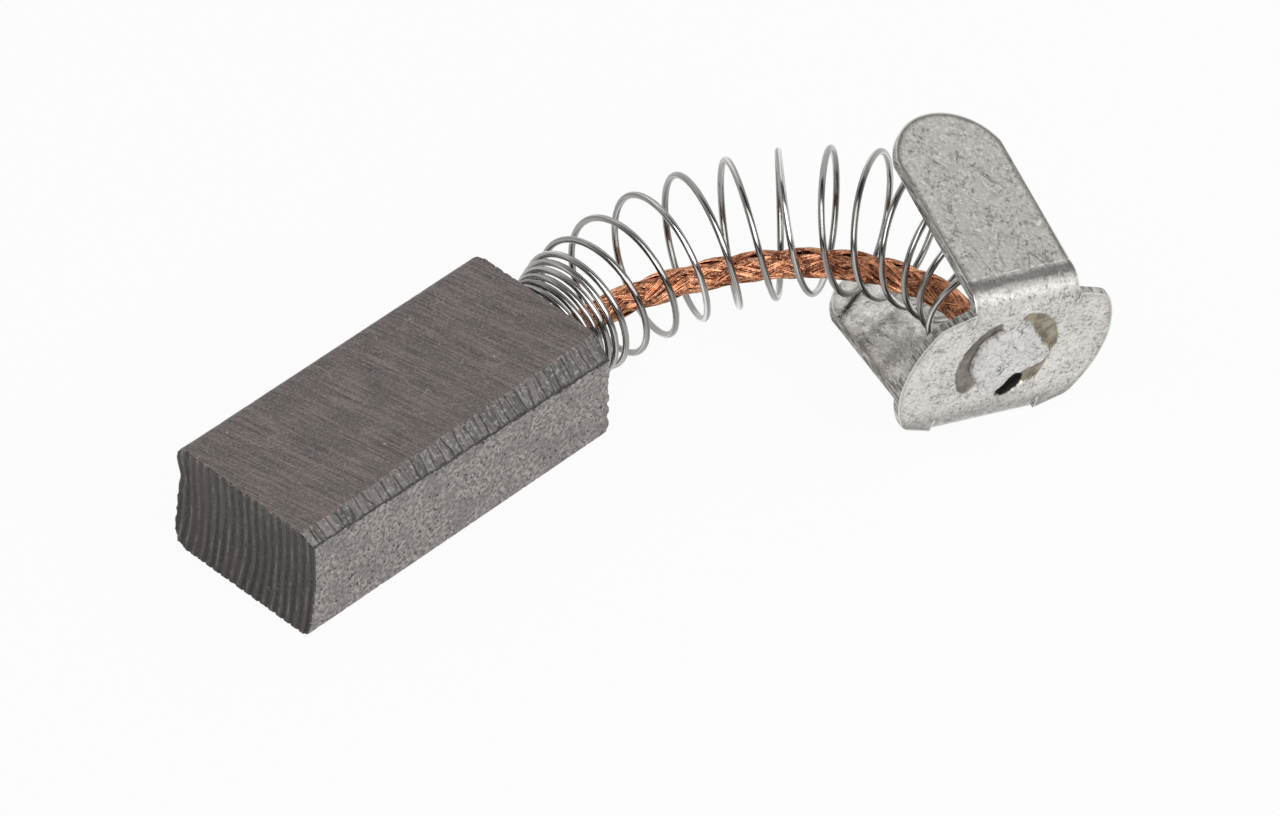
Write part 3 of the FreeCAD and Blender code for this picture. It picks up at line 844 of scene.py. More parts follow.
def lead_line(steps):
    """Points at even steps along the lead's smooth curve, in metres."""
    curve = bpy.data.curves.new("lead_route", "CURVE")
    curve.dimensions = "3D"
    spline = curve.splines.new("NURBS")
    spline.points.add(len(lead_route) - 1)
    for point, place in zip(spline.points, lead_route):
        point.co = (*place, 1.0)
    spline.order_u = 3
    spline.use_endpoint_u = True
    spline.resolution_u = 32
    holder = put_in_scene("lead_route", curve)
    bpy.context.view_layer.update()
    traced = evaluated_mesh(holder)
    points = np.array([vertex.co[:] for vertex in traced.vertices])
    bpy.data.objects.remove(holder)
    lengths = np.concatenate(([0.0], np.cumsum(np.linalg.norm(np.diff(points, axis=0), axis=1))))
    even = np.linspace(0.0, lengths[-1], steps)
    return np.column_stack([np.interp(even, lengths, points[:, axis]) for axis in range(3)]), even


def frames_along(points):
    """Two directions square to a line at each of its points, without twist."""
    along = np.gradient(points, axis=0)
    along /= np.linalg.norm(along, axis=1, keepdims=True)
    first = np.cross(along[0], (0.0, 0.0, 1.0))
    rights = []
    for direction in along:
        first = first - direction * np.dot(first, direction)
        first = first / np.linalg.norm(first)
        rights.append(first)
    rights = np.array(rights)
    return rights, np.cross(along, rights)


def plaited_lines(settings, points, lengths):
    """The middle line of each fine wire of the plait, in millimetres."""
    rights, ups = frames_along(points)
    middle = points / MM
    along = lengths / MM
    carriers = settings.carriers
    radius = lead_diameter / 2 - plait_wire_radius - plait_wave
    spread = plait_fill * 2 * math.pi / carriers / settings.wires
    lines = []
    outwards = []
    tones = []
    for way in (1, -1):
        for carrier in range(carriers):
            sway = np.array([noise.noise(Vector((s * 0.35, carrier * 3.7, way * 5.0))) for s in along])
            turn = way * 2 * math.pi * along / settings.lay_length
            crossing = math.pi / 2 * (2 * carrier + way * 2 * carriers * along / settings.lay_length)
            over = way * np.cos(crossing)
            for number in range(settings.wires):
                place = number - (settings.wires - 1) / 2
                share = place / settings.wires * 2
                loose = np.array([noise.noise(Vector((s * 0.8, carrier * 2.3 + number * 7.1, way * 9.0)))
                                  for s in along])
                angle = 2 * math.pi * carrier / carriers + turn + spread * place + 0.3 * sway + 0.07 * loose
                out = radius + plait_wave * over + 0.07 * (1 - share**2) - 0.04 + 0.03 * loose
                direction = rights * np.cos(angle)[:, None] + ups * np.sin(angle)[:, None]
                lines.append(middle + direction * out[:, None])
                outwards.append(direction)
                tones.append(noise.random())
    return np.array(lines), np.array(outwards), tones


def lead_core(points, sides=14):
    """The wires at the heart of the lead, as one plain round core that is dark as painted shade."""
    rights = frames_along(points)[0]
    lines = (points / MM)[None, :, :]
    return wire_tubes(lines, rights[None, :, :], lead_diameter / 2 - core_inset, sides)[:2]


def copper_wire(settings):
    """Bare copper wire, from bright to tarnished, wire by wire and along its length, with painted glints."""
    material, tree, shader = new_material("copper_wire", metallic=1.0)
    place = place_in_millimetres(tree)
    tone = add(tree, "Attribute", attribute_name="tone").outputs["Fac"]
    patches = use_group(tree, "Mottle", place, scale=0.9, detail=4.0, roughness=0.65)
    flecks = use_group(tree, "Mottle", place, scale=6.5, detail=2.0, roughness=0.6)
    mask = calculate(tree, "ADD", calculate(tree, "MULTIPLY", tone, 0.55),
                     calculate(tree, "MULTIPLY", patches, 0.45))
    colour = blend_colours(tree, soft_mask(tree, mask, 0.3, 0.74), settings.dull_colour,
                           settings.bright_colour)
    # The bright flecks are painted glints; the dark flecks darken the copper here and there
    colour = paint(tree, colour, [
        (flecks, (0.55, 1.0, 0.0, 0.4), (1.0, 0.66, 0.47, 1.0)),
        (flecks, (0.4, 0.0, 0.0, 0.4), (0.12, 0.04, 0.02, 1.0)),
    ])
    feed(tree, shader, base_color=colour, roughness=soft_mask(tree, mask, 0.0, 1.0, 0.42, 0.2),
         normal=bump(tree, flecks, 0.01, 0.6))
    return material


def copper_shadow():
    """Painted shade: dark copper seen in the gaps between the outer wires."""
    material, tree, shader = new_material("copper_shadow", metallic=0.6)
    place = place_in_millimetres(tree)
    patches = use_group(tree, "Mottle", place, scale=4.0, detail=4.0, roughness=0.6)
    colour = blend_colours(tree, patches, (0.05, 0.02, 0.012, 1.0), (0.16, 0.06, 0.03, 1.0))
    feed(tree, shader, base_color=colour, roughness=soft_mask(tree, patches, 0.0, 1.0, 0.7, 0.5))
    return material


def tamped_powder():
    """Dull copper powder pressed round the lead."""
    material, tree, shader = new_material("tamped_powder", metallic=0.5)
    place = place_in_millimetres(tree)
    grains = use_group(tree, "Mottle", place, scale=7.0, detail=6.0, roughness=0.8)
    colour = blend_colours(tree, grains, (0.1, 0.045, 0.028, 1.0), (0.4, 0.19, 0.12, 1.0))
    feed(tree, shader, base_color=colour, roughness=soft_mask(tree, grains, 0.0, 1.0, 0.8, 0.55),
         normal=bump(tree, grains, 0.05, 1.0))
    return material


# Terminal cap

def cap_matrix():
    """How the cap lies: turned round towards the block, rolled and leaning outward."""
    heading, roll, lean = (math.radians(angle) for angle in (cap_heading, cap_roll, cap_lean))
    level = Vector((math.cos(heading), math.sin(heading), 0.0))
    side = Vector((-math.sin(heading), math.cos(heading), 0.0))
    up = Vector((0.0, 0.0, 1.0))
    outward = level * math.cos(lean) + up * math.sin(lean)
    leaning_up = up * math.cos(lean) - level * math.sin(lean)
    across = side * math.cos(roll) - leaning_up * math.sin(roll)
    upward = side * math.sin(roll) + leaning_up * math.cos(roll)
    matrix = Matrix((across, upward, outward)).transposed().to_4x4()
    matrix.translation = Vector(cap_middle) * MM
    return matrix


def fold_point(side, flare, reach):
    """A point of the cap's outer surface past a bend's start, at a length along the sheet."""
    turn = math.pi / 2 - math.radians(flare)
    start = cap_height / 2 - bend_radius
    bend = bend_radius * turn
    angle = min(reach / bend_radius, turn)
    y = start + bend_radius * math.sin(angle)
    z = bend_radius * math.cos(angle) - bend_radius
    if reach > bend:
        y += (reach - bend) * math.cos(turn)
        z -= (reach - bend) * math.sin(turn)
    return side * y, z


def tip_bulge(x):
    """How far the round tip of a tab reaches past its straight sides."""
    half = tab_width / 2
    radius = (half**2 + tab_tip_bulge**2) / (2 * tab_tip_bulge)
    return math.sqrt(max(radius**2 - x**2, 0.0)) - (radius - tab_tip_bulge)


def sheet_grid():
    """The outer surface of the cap: the folded strap and the two lobes as one net of points."""
    half = tab_width / 2
    start = cap_height / 2 - bend_radius
    columns = [half * (0.7 * (2 * index / net_steps - 1)
                       + 0.3 * math.sin(math.pi * (index / net_steps - 0.5)))
               for index in range(net_steps + 1)]
    plate_rows = [start * (2 * index / net_steps - 1) for index in range(net_steps + 1)]
    points = []
    faces = []

    def put(x, y, z):
        points.append((x, y, z))
        return len(points) - 1

    def join(first, second, flip=False):
        for low, high in zip(range(len(first) - 1), range(1, len(first))):
            face = (first[low], first[high], second[high], second[low])
            faces.append(face[::-1] if flip else face)

    plate = [[put(x, y, 0.0) for x in columns] for y in plate_rows]
    for first, second in zip(plate, plate[1:]):
        join(first, second)
    for side, flare in zip((1, -1), tab_flares):
        bend = bend_radius * (math.pi / 2 - math.radians(flare))
        shares = [bend * index / bend_rows for index in range(1, bend_rows + 1)]
        previous = plate[-1] if side > 0 else plate[0]
        for reach in shares:
            row = [put(x, *fold_point(side, flare, reach)) for x in columns]
            join(previous, row, flip=side < 0)
            previous = row
        for index in range(1, tab_rows + 1):
            row = []
            for x in columns:
                length = (tab_straight + tip_bulge(x)) * index / tab_rows
                row.append(put(x, *fold_point(side, flare, bend + length)))
            join(previous, row, flip=side < 0)
            previous = row
    for side in (1, -1):
        add_lobe(put, join, plate, side, start)
    return points, faces


def add_lobe(put, join, plate, side, start):
    """One side lobe of the plate, from the strap's edge to the round outline."""
    half = tab_width / 2
    edge = net_steps if side > 0 else 0
    fall = math.tan(math.radians(shoulder_fall))
    corner_x = half
    while math.hypot(corner_x, shoulder_half_height - (corner_x - half) * fall) < plate_radius:
        corner_x += 0.01
    corner_y = shoulder_half_height - (corner_x - half) * fall
    inner = [row[edge] for row in plate]
    levels = [start * (2 * index / net_steps - 1) / shoulder_half_height for index in range(net_steps + 1)]
    for extra in (0.88, 0.93, 0.97, 1.0):
        levels.append(extra)
        levels.insert(0, -extra)
    rails = []
    for level in levels:
        y = level * corner_y
        pulled = 0.42 * max(0.0, (abs(level) - 0.86) / 0.14)**3
        rails.append((math.sqrt(plate_radius**2 - y**2) - pulled, y))
    ends = [put(side * half, level * shoulder_half_height, 0.0) for level in levels
            if abs(level) * shoulder_half_height > start + 1e-6]
    columns = [ends[:4] + inner + ends[-4:]]
    for step in range(1, lobe_columns + 1):
        share = step / lobe_columns
        column = []
        for level, (rail_x, rail_y) in zip(levels, rails):
            x = half + (rail_x - half) * share
            y = level * shoulder_half_height + (rail_y - level * shoulder_half_height) * share
            column.append(put(side * x, y, 0.0))
        columns.append(column)
    for before, after in zip(columns, columns[1:]):
        join(before, after, flip=side > 0)


def buckle(point, amount):
    """A point of the sheet moved a little, because thin sheet is never quite flat."""
    wander = noise.noise(Vector(point) * 0.28) + 0.4 * noise.noise(Vector(point) * 0.9)
    return (point[0], point[1], point[2] + amount * wander)


def around_weld(x, y):
    """Angle and distance of a point of the plate about the middle of the weld."""
    across, upward = x - weld_middle[0], y - weld_middle[1]
    return math.atan2(upward, across) % (2 * math.pi), math.hypot(across, upward)


def near_angle(angle, middle, half_width):
    """A soft hump that is 1 at an angle and 0 past its half width."""
    away = abs((angle - middle + math.pi) % (2 * math.pi) - math.pi)
    return smooth_step(1 - away / half_width)


def weld_recess(x, y):
    """How deep the weld pressed the plate at a point: 0 outside its ring, 1 at its floor."""
    angle, distance = around_weld(x, y)
    wander = noise.noise(Vector((x * 0.9, y * 0.9, 2.0))) * 0.15
    wander += noise.noise(Vector((x * 3.1, y * 3.1, 5.0))) * 0.09
    reach = weld_radius + wander + 0.3 * near_angle(angle, 5.6, 0.4)
    inside = smooth_step((reach - distance) / 0.2)
    filled = max(near_angle(angle, 4.5, 0.62), near_angle(angle, 1.75, 0.38))
    return inside * (1 - smooth_step(filled * 1.6))


def burnt_pit(x, y):
    """How much of the long burnt pit is at a point of the plate, from 0 to 1."""
    across, upward = x - burn_pit[0], y - burn_pit[1]
    turn = math.radians(70.0)
    along = across * math.cos(turn) + upward * math.sin(turn)
    aside = upward * math.cos(turn) - across * math.sin(turn)
    ragged = 0.25 * noise.noise(Vector((x * 2.2, y * 2.2, 3.0)))
    return smooth_step((1.25 + ragged - math.hypot(along / 0.95, aside / 0.66)) / 0.45)


def cap_mesh(settings):
    """The folded sheet with its thickness, rounded sheared edges and the ring of the weld."""
    points, faces = sheet_grid()
    mesh = mesh_from("terminal_sheet", points, faces)
    piece = put_in_scene("terminal_sheet", mesh)
    thick = piece.modifiers.new("thickness", "SOLIDIFY")
    thick.thickness = sheet_thickness * MM
    thick.offset = -1.0
    thick.use_even_offset = True
    thick.material_offset_rim = 1
    edges = piece.modifiers.new("sheared_edges", "BEVEL")
    edges.width = settings.edge_round * MM
    edges.segments = 2
    edges.limit_method = "ANGLE"
    edges.angle_limit = math.radians(50)
    mesh.materials.append(None)
    mesh.materials.append(None)
    bake_modifiers(piece)
    mesh = piece.data
    cut_points = {index for face in mesh.polygons if face.material_index == 1 for index in face.vertices}
    tree = KDTree(len(cut_points))
    for index in cut_points:
        tree.insert(mesh.vertices[index].co, index)
    tree.balance()
    rims = [tree.find(vertex.co)[2] / MM for vertex in mesh.vertices]
    recesses = []
    pits = []
    for vertex in mesh.vertices:
        x, y, z = vertex.co / MM
        outer = abs(z) < 0.1 and abs(y) < 4.2
        recess = weld_recess(x, y) if outer else 0.0
        pit = burnt_pit(x, y) if outer else 0.0
        recesses.append(recess)
        pits.append(pit)
        place = Vector(buckle((x, y, z), settings.buckle))
        place.z -= weld_depth * recess * (1 - pit) + pit_depth * pit
        vertex.co = place * MM
    set_attribute(mesh, "rim_distance", rims)
    set_attribute(mesh, "weld_recess", recesses)
    set_attribute(mesh, "burnt_pit", pits)
    slots = [face.material_index for face in mesh.polygons]
    mesh.materials.clear()
    mesh.polygons.foreach_set("material_index", slots)
    bpy.data.objects.remove(piece)
    return mesh


def crossing_scratches(tree):
    """Fine straight scratches that cross the sheet in three directions."""
    together = None
    for turn in ((0.4, 0.9, 0.5), (1.2, 0.3, 1.9), (2.2, 1.5, 2.8)):
        place = place_on_sheet(tree, turn)
        lines = use_group(tree, "Fine Lines", place, stretch=(0.5, 6.0, 3.0), roughness=0.7)
        shown = use_group(tree, "Mottle", place, scale=0.9, detail=3.0, roughness=0.6)
        mask = both(tree, soft_mask(tree, lines, 0.68, 0.95), soft_mask(tree, shown, 0.35, 0.8))
        together = mask if together is None else calculate(tree, "MAXIMUM", together, mask)
    return together


def tinned_sheet(settings):
    """Tinned sheet: satin grey, mottled, with specks, scratches and a burnt weld, with painted shade on the
    upper tab, the lower bend and the lower tab, and painted light and shade at the bends and the edges.
    """
    material, tree, shader = new_material("tinned_sheet", metallic=1.0)
    place = place_on_sheet(tree)
    x, y, z = add(tree, "SeparateXYZ", links={0: place}).outputs
    clouds = use_group(tree, "Mottle", place, scale=0.4, detail=5.0, roughness=0.6)
    grain = use_group(tree, "Mottle", place, scale=5.0, detail=4.0, roughness=0.7)
    smudges = use_group(tree, "Mottle", place, scale=1.5, detail=8.0, roughness=0.8)
    small_specks = use_group(tree, "Specks", place, scale=4.4, size=0.23, share=0.2)
    specks = use_group(tree, "Specks", place, scale=1.7, size=0.15, share=0.4)
    hairs = use_group(tree, "Hairlines", place, scale=0.7, width=0.006, share=0.6)
    scratches = crossing_scratches(tree)
    rim = add(tree, "Attribute", attribute_name="rim_distance").outputs["Fac"]
    base = settings.sheet_colour
    stain = settings.stain_colour
    # Painted shade that makes the upper tab darker than the plate
    on_tab = both(tree, soft_mask(tree, z, -1.0, -1.7), soft_mask(tree, y, -1.0, 1.0))
    colour = blend_colours(tree, clouds, shade_of(base, 0.84), base)
    colour = paint(tree, colour, [
        (on_tab, (0.0, 1.0, 0.0, 0.85), shade_of(base, 0.68)),
    ])
    veiled = blend_colours(tree, soft_mask(tree, grain, 0.5, 0.12, 0.0, 0.8), colour, shade_of(base, 0.36))
    veil = both(tree, soft_mask(tree, smudges, 0.2, 0.8, 0.1, 1.0), soft_mask(tree, y, -4.8, -4.2, 0.35, 1.0))
    colour = blend_colours(tree, veil, colour, veiled)
    # Painted shade on the lower part of the plate towards its lower bend, broken up by the smudges
    low_bend = both(tree, soft_mask(tree, y, -2.3, -3.7), soft_mask(tree, smudges, 0.0, 0.8, 0.55, 0.9))
    low_bend = both(tree, low_bend, soft_mask(tree, z, -2.0, -1.0))
    colour = blend_colours(tree, low_bend, colour, shade_of(base, 0.4))
    shaded = both(tree, soft_mask(tree, y, -4.2, -4.9), soft_mask(tree, clouds, 0.7, 0.3, 0.25, 0.75))
    colour = blend_colours(tree, shaded, colour, shade_of(base, 0.4))
    colour = paint(tree, colour, [
        (grain, (0.6, 1.0, 0.0, 0.4), (0.92, 0.9, 0.87, 1.0)),
        (smudges, (0.66, 0.95, 0.0, 0.7), shade_of(stain, 1.1)),
    ])
    dark_scratches = both(tree, scratches, soft_mask(tree, clouds, 0.75, 0.45, 0.25, 0.8))
    colour = blend_colours(tree, dark_scratches, colour, shade_of(stain, 0.8))
    dots = calculate(tree, "MAXIMUM", small_specks, specks)
    colour = paint(tree, colour, [
        (dots, (0.0, 1.0, 0.0, 0.8), shade_of(stain, 0.45)),
        (hairs, (0.0, 1.0, 0.0, 0.55), (0.9, 0.89, 0.87, 1.0)),
    ])
    # Painted shade as a dark line just inside the sheet's edges, stronger on the upper tab, and a painted
    # highlight line right at the edges
    border = ruffle(tree, rim, smudges, 0.2)
    dark_border = both(tree, soft_mask(tree, border, 0.5, 0.22), soft_mask(tree, on_tab, 0.0, 1.0, 0.3, 0.75))
    colour = blend_colours(tree, dark_border, colour, shade_of(stain, 0.6))
    colour = paint(tree, colour, [
        (rim, (0.1, 0.05, 0.0, 0.7), (0.8, 0.79, 0.76, 1.0)),
    ])
    # Painted light at the bends: a dark reflection band, a highlight line and a speckled sheen
    dark, line, bright = painted_bend_light(tree, y, z, place)
    colour = blend_colours(tree, dark, colour, (0.13, 0.125, 0.12, 1.0))
    colour = blend_colours(tree, bright, colour, (0.86, 0.85, 0.83, 1.0))
    colour = blend_colours(tree, line, colour, (0.88, 0.87, 0.85, 1.0))
    recess = add(tree, "Attribute", attribute_name="weld_recess").outputs["Fac"]
    stained = use_group(tree, "Mottle", place, scale=1.1, detail=6.0, roughness=0.72)
    left = soft_mask(tree, x, 0.3, -0.6)
    burnt = blend_colours(tree, left, (0.38, 0.34, 0.262, 1.0), (0.27, 0.245, 0.215, 1.0))
    deep = blend_colours(tree, left, (0.12, 0.1, 0.07, 1.0), (0.1, 0.088, 0.076, 1.0))
    burnt = blend_colours(tree, soft_mask(tree, stained, 0.15, 1.0, 0.0, 0.85), burnt, deep)
    colour = paint(tree, colour, [
        (recess, (0.25, 0.8), burnt),
    ])
    pit = add(tree, "Attribute", attribute_name="burnt_pit").outputs["Fac"]
    sooty = ruffle(tree, pit, stained, 0.3)
    colour = paint(tree, colour, [
        (sooty, (0.3, 0.6), (0.014, 0.012, 0.011, 1.0)),
    ])
    height = calculate(tree, "SUBTRACT", calculate(tree, "MULTIPLY", grain, 0.6),
                       calculate(tree, "MULTIPLY", calculate(tree, "MAXIMUM", dots, scratches), 0.5))
    feed(tree, shader, base_color=colour,
         roughness=calculate(tree, "MULTIPLY", soft_mask(tree, clouds, 0.0, 1.0, 0.46, 0.3),
                             soft_mask(tree, y, -4.4, -3.4, 0.2, 1.0)),
         normal=bump(tree, height, 0.012, 0.9))
    return material


def painted_bend_light(tree, y, z, place):
    """Masks of the painted dark reflection band, the painted highlight line and the speckled painted sheen
    along the bend.
    """
    on_strap = soft_mask(tree, calculate(tree, "ABSOLUTE", y), 3.4, 3.9)
    depth = calculate(tree, "MULTIPLY", z, -1.0)
    wander = use_group(tree, "Mottle", place, scale=1.6, detail=4.0, roughness=0.7)
    shifted = ruffle(tree, depth, wander, 0.18)
    sparkle = use_group(tree, "Mottle", place, scale=7.0, detail=5.0, roughness=0.85)

    def band(value, low, full_low, full_high, high):
        inside = both(tree, soft_mask(tree, value, low, full_low), soft_mask(tree, value, high, full_high))
        return calculate(tree, "MULTIPLY", inside, on_strap)

    dark = calculate(tree, "MULTIPLY", band(shifted, 0.95, 1.25, 1.45, 1.8), 0.75)
    line = both(tree, band(depth, 1.66, 1.7, 1.73, 1.77), soft_mask(tree, wander, 0.35, 0.6, 0.0, 0.7))
    bright = both(tree, band(shifted, 0.2, 0.5, 0.8, 1.15), soft_mask(tree, sparkle, 0.5, 0.85, 0.0, 0.8))
    return dark, line, bright


def sheared_edge(settings):
    """The cut edge of the sheet: bright and dark striations through its thickness."""
    material, tree, shader = new_material("sheared_edge", metallic=1.0)
    place = place_on_sheet(tree)
    cuts = use_group(tree, "Fine Lines", place, stretch=(9.0, 9.0, 0.7), roughness=0.8)
    broad = use_group(tree, "Mottle", place, scale=1.3, detail=3.0, roughness=0.6)
    base = settings.sheet_colour
    colour = blend_colours(tree, soft_mask(tree, cuts, 0.2, 0.8),
                           (0.09, 0.085, 0.08, 1.0), shade_of(base, 0.7))
    colour = paint(tree, colour, [
        (broad, (0.6, 1.0, 0.0, 0.5), (0.8, 0.79, 0.76, 1.0)),
    ])
    feed(tree, shader, base_color=colour, roughness=soft_mask(tree, cuts, 0.0, 1.0, 0.46, 0.25),
         normal=bump(tree, cuts, 0.02, 0.8))
    return material


# Solder

# Height, angle and half width of each bulge and notch of the solder's outline
solder_outline = (
    (0.75, 6.1, 0.5), (0.8, 4.55, 0.6), (0.35, 1.45, 0.45),
    (0.2, 2.4, 0.5), (-0.25, 0.75, 0.4), (-0.4, 5.2, 0.3),
)


def solder_mesh():
    """The frosted lump that closes the lead's hole, ragged at its rim."""
    rings = 56
    spokes = 168
    points = [(weld_middle[0], weld_middle[1], 0.1)]
    borders = [0.0]
    for ring in range(1, rings + 1):
        share = ring / rings
        for spoke in range(spokes):
            angle = 2 * math.pi * spoke / spokes
            toward = Vector((math.cos(angle), math.sin(angle), 0.0))
            rim = 2.13 + 0.1 * noise.noise(toward * 1.3) + 0.13 * noise.noise(toward * 7.0)
            for bulge, middle, half_width in solder_outline:
                rim += bulge * near_angle(angle, middle, half_width)
            x = weld_middle[0] + toward.x * rim * share
            y = weld_middle[1] + toward.y * rim * share
            place = Vector((x, y, 0.0))
            rough = sum(noise.noise(place * often) * high
                        for often, high in ((1.3, 0.06), (4.0, 0.03), (9.0, 0.012)))
            lip = near_angle(angle, 6.0, 0.7) * smooth_step((share - 0.6) / 0.3)
            lip += 0.6 * near_angle(angle, 5.2, 0.5) * smooth_step((share - 0.7) / 0.2)
            height = 0.08 * (1 - share**2) + 0.05 + rough + 0.09 * lip
            edge = smooth_step((1 - share) / 0.07)
            points.append((x, y, height * edge - 0.16 * (1 - edge)))
            borders.append(smooth_step((share - 0.8) / 0.2))
    faces = [(0, 1 + spoke, 1 + (spoke + 1) % spokes) for spoke in range(spokes)]
    for ring in range(rings - 1):
        low = 1 + ring * spokes
        for spoke in range(spokes):
            following = (spoke + 1) % spokes
            faces.append((low + spoke, low + spokes + spoke, low + spokes + following, low + following))
    mesh = mesh_from("solder_lump", points, faces)
    set_attribute(mesh, "border", borders)
    return mesh


def frosted_solder(settings):
    """Frosted white solder with dark pinholes and cracks, scorched at its ragged rim."""
    material, tree, shader = new_material("frosted_solder", specular_ior_level=0.5)
    place = place_on_sheet(tree)
    crazing = use_group(tree, "Mottle", place, scale=3.0, detail=8.0, roughness=0.8)
    pinholes = use_group(tree, "Specks", place, scale=3.0, size=0.17, share=0.3)
    cracks = use_group(tree, "Hairlines", place, scale=1.3, width=0.014, share=0.8)
    soot = use_group(tree, "Mottle", place, scale=3.0, detail=5.0, roughness=0.8)
    border = add(tree, "Attribute", attribute_name="border").outputs["Fac"]
    base = settings.solder_colour
    colour = blend_colours(tree, soft_mask(tree, crazing, 0.0, 0.7), shade_of(base, 0.66), base)
    colour = paint(tree, colour, [
        (pinholes, (0.0, 1.0, 0.0, 0.85), (0.07, 0.065, 0.06, 1.0)),
        (cracks, (0.0, 1.0, 0.0, 0.75), (0.13, 0.12, 0.11, 1.0)),
    ])
    sooty = ruffle(tree, border, soot, 0.5)
    scorched = soft_mask(tree, sooty, 0.95, 1.45)
    colour = paint(tree, colour, [
        (scorched, (0.0, 1.0, 0.0, 0.8), (0.2, 0.18, 0.15, 1.0)),
    ])
    height = calculate(tree, "SUBTRACT", crazing, calculate(tree, "MAXIMUM", pinholes, cracks))
    feed(tree, shader, base_color=colour, metallic=calculate(tree, "MULTIPLY", crazing, 0.5),
         roughness=soft_mask(tree, crazing, 0.0, 1.0, 0.62, 0.42),
         normal=bump(tree, height, 0.05, 0.9))
    return material


# Spring

def bezier(controls, share):
    """A point on a curve through its control points' hull, and the curve's direction there."""
    points = list(controls)
    while len(points) > 2:
        points = [first.lerp(second, share) for first, second in zip(points, points[1:])]
    return points[0].lerp(points[1], share), (points[1] - points[0]).normalized()


def spring_axis():
    """Points and directions along the spring's bent axis, with the length from its start."""
    lie = cap_matrix()
    middle = Vector(cap_middle)
    outward = lie.to_3x3() @ Vector((0.0, 0.0, 1.0))
    start = Vector((block_back + wire_corner, 0.0, spring_diameter / 2))
    end = middle + lie.to_3x3() @ Vector((coil_side_shift, coil_rise, -seat_depth))
    controls = [start, start + Vector((axis_pull_block, 0.0, 0.0)), start + Vector(axis_bow_from_block),
                middle + Vector(axis_bow_from_cap), end - outward * axis_pull_cap, end]
    rows = []
    length = 0.0
    for step in range(axis_steps + 1):
        point, direction = bezier(controls, step / axis_steps)
        if rows:
            length += (point - rows[-1][1]).length
        rows.append((length, point, direction))
    return rows


def relative_pitch(turn):
    """How open the spring is at a turn: 0 where its turns lie close, 1 where it is open."""
    last_open = close_turns_block + open_turns
    if turn <= close_turns_block or turn >= last_open:
        return 0.0
    opening = min(1.0, (turn - close_turns_block) / opening_turns)
    closing = min(1.0, (last_open - turn) / closing_turns)
    share = (turn - close_turns_block) / open_turns
    past = smooth_step((share - tighter_from_share) / tighter_over_share)
    tighter = 1.0 - (1.0 - tighter_end_share) * past
    return opening * closing * tighter


def spring_line(steps_per_turn):
    """The wire's middle line: a right-hand helix whose first turns are narrower."""
    rows = spring_axis()
    turns = close_turns_block + open_turns + close_turns_cap
    count = round(turns * steps_per_turn)
    numbers = [turns * index / count for index in range(count + 1)]
    opened = [0.0]
    for first, second in zip(numbers, numbers[1:]):
        opened.append(opened[-1] + relative_pitch((first + second) / 2) * (second - first))
    close_pitch = wire_diameter + close_gap
    spare = rows[-1][0] - close_pitch * turns
    coil_radius = (spring_diameter - wire_diameter) / 2
    first_radius = (first_turn_diameter - wire_diameter) / 2
    facing = cap_matrix().to_3x3() @ Vector((0.0, 0.0, 1.0))
    line = []
    outwards = []
    row = 0
    for number, share in zip(numbers, opened):
        distance = number * close_pitch + spare * share / opened[-1]
        while row < len(rows) - 2 and rows[row + 1][0] < distance:
            row += 1
        low, high = rows[row], rows[row + 1]
        between = (distance - low[0]) / (high[0] - low[0])
        point = low[1].lerp(high[1], between)
        direction = low[2].lerp(high[2], between).normalized()
        free = smooth_step((rows[-1][0] - distance) / cap_seat_length)
        direction = (direction * free + facing * (1 - free)).normalized()
        right = direction.cross(Vector((0.0, 0.0, 1.0))).normalized()
        up = right.cross(direction)
        angle = 2 * math.pi * (number - close_turns_block - first_top_turn)
        outward = right * math.sin(angle) + up * math.cos(angle)
        radius = first_radius + (coil_radius - first_radius) * smooth_step(number / widening_turns)
        line.append(point - Vector((0.0, 0.0, coil_radius - radius)) + outward * radius)
        outwards.append(outward)
    return np.array(line), np.array(outwards)


def spring_steel(settings):
    """Drawn steel wire: satin grey with bright and dark streaks that run along it, partly drawing marks and
    partly painted highlights and dark reflections.
    """
    material, tree, shader = new_material("spring_steel", metallic=1.0)
    along = add(tree, "Attribute", attribute_name="wire_place").outputs["Vector"]
    place = place_in_millimetres(tree)
    streaks = use_group(tree, "Fine Lines", along, stretch=(0.12, 3.0, 3.0), roughness=0.5)
    bright = use_group(tree, "Fine Lines", along, stretch=(0.1, 3.5, 3.5), roughness=0.5)
    fine = use_group(tree, "Fine Lines", along, stretch=(0.2, 9.0, 9.0), roughness=0.5)
    patches = use_group(tree, "Mottle", place, scale=0.5, detail=4.0, roughness=0.6)
    # Streaks fixed round the wire: partly drawing marks, partly painted dark reflections and painted
    # highlight lines
    colour = blend_colours(tree, soft_mask(tree, streaks, 0.45, 0.85),
                           settings.wire_colour, settings.streak_colour)
    colour = paint(tree, colour, [
        (bright, (0.64, 0.9, 0.0, 0.75), (0.9, 0.89, 0.87, 1.0)),
        (fine, (0.35, 0.0, 0.0, 0.35), (0.08, 0.078, 0.074, 1.0)),
    ])
    feed(tree, shader, base_color=colour, roughness=soft_mask(tree, patches, 0.0, 1.0, 0.1, 0.22),
         normal=bump(tree, fine, 0.003, 0.6))
    return material


# Stage

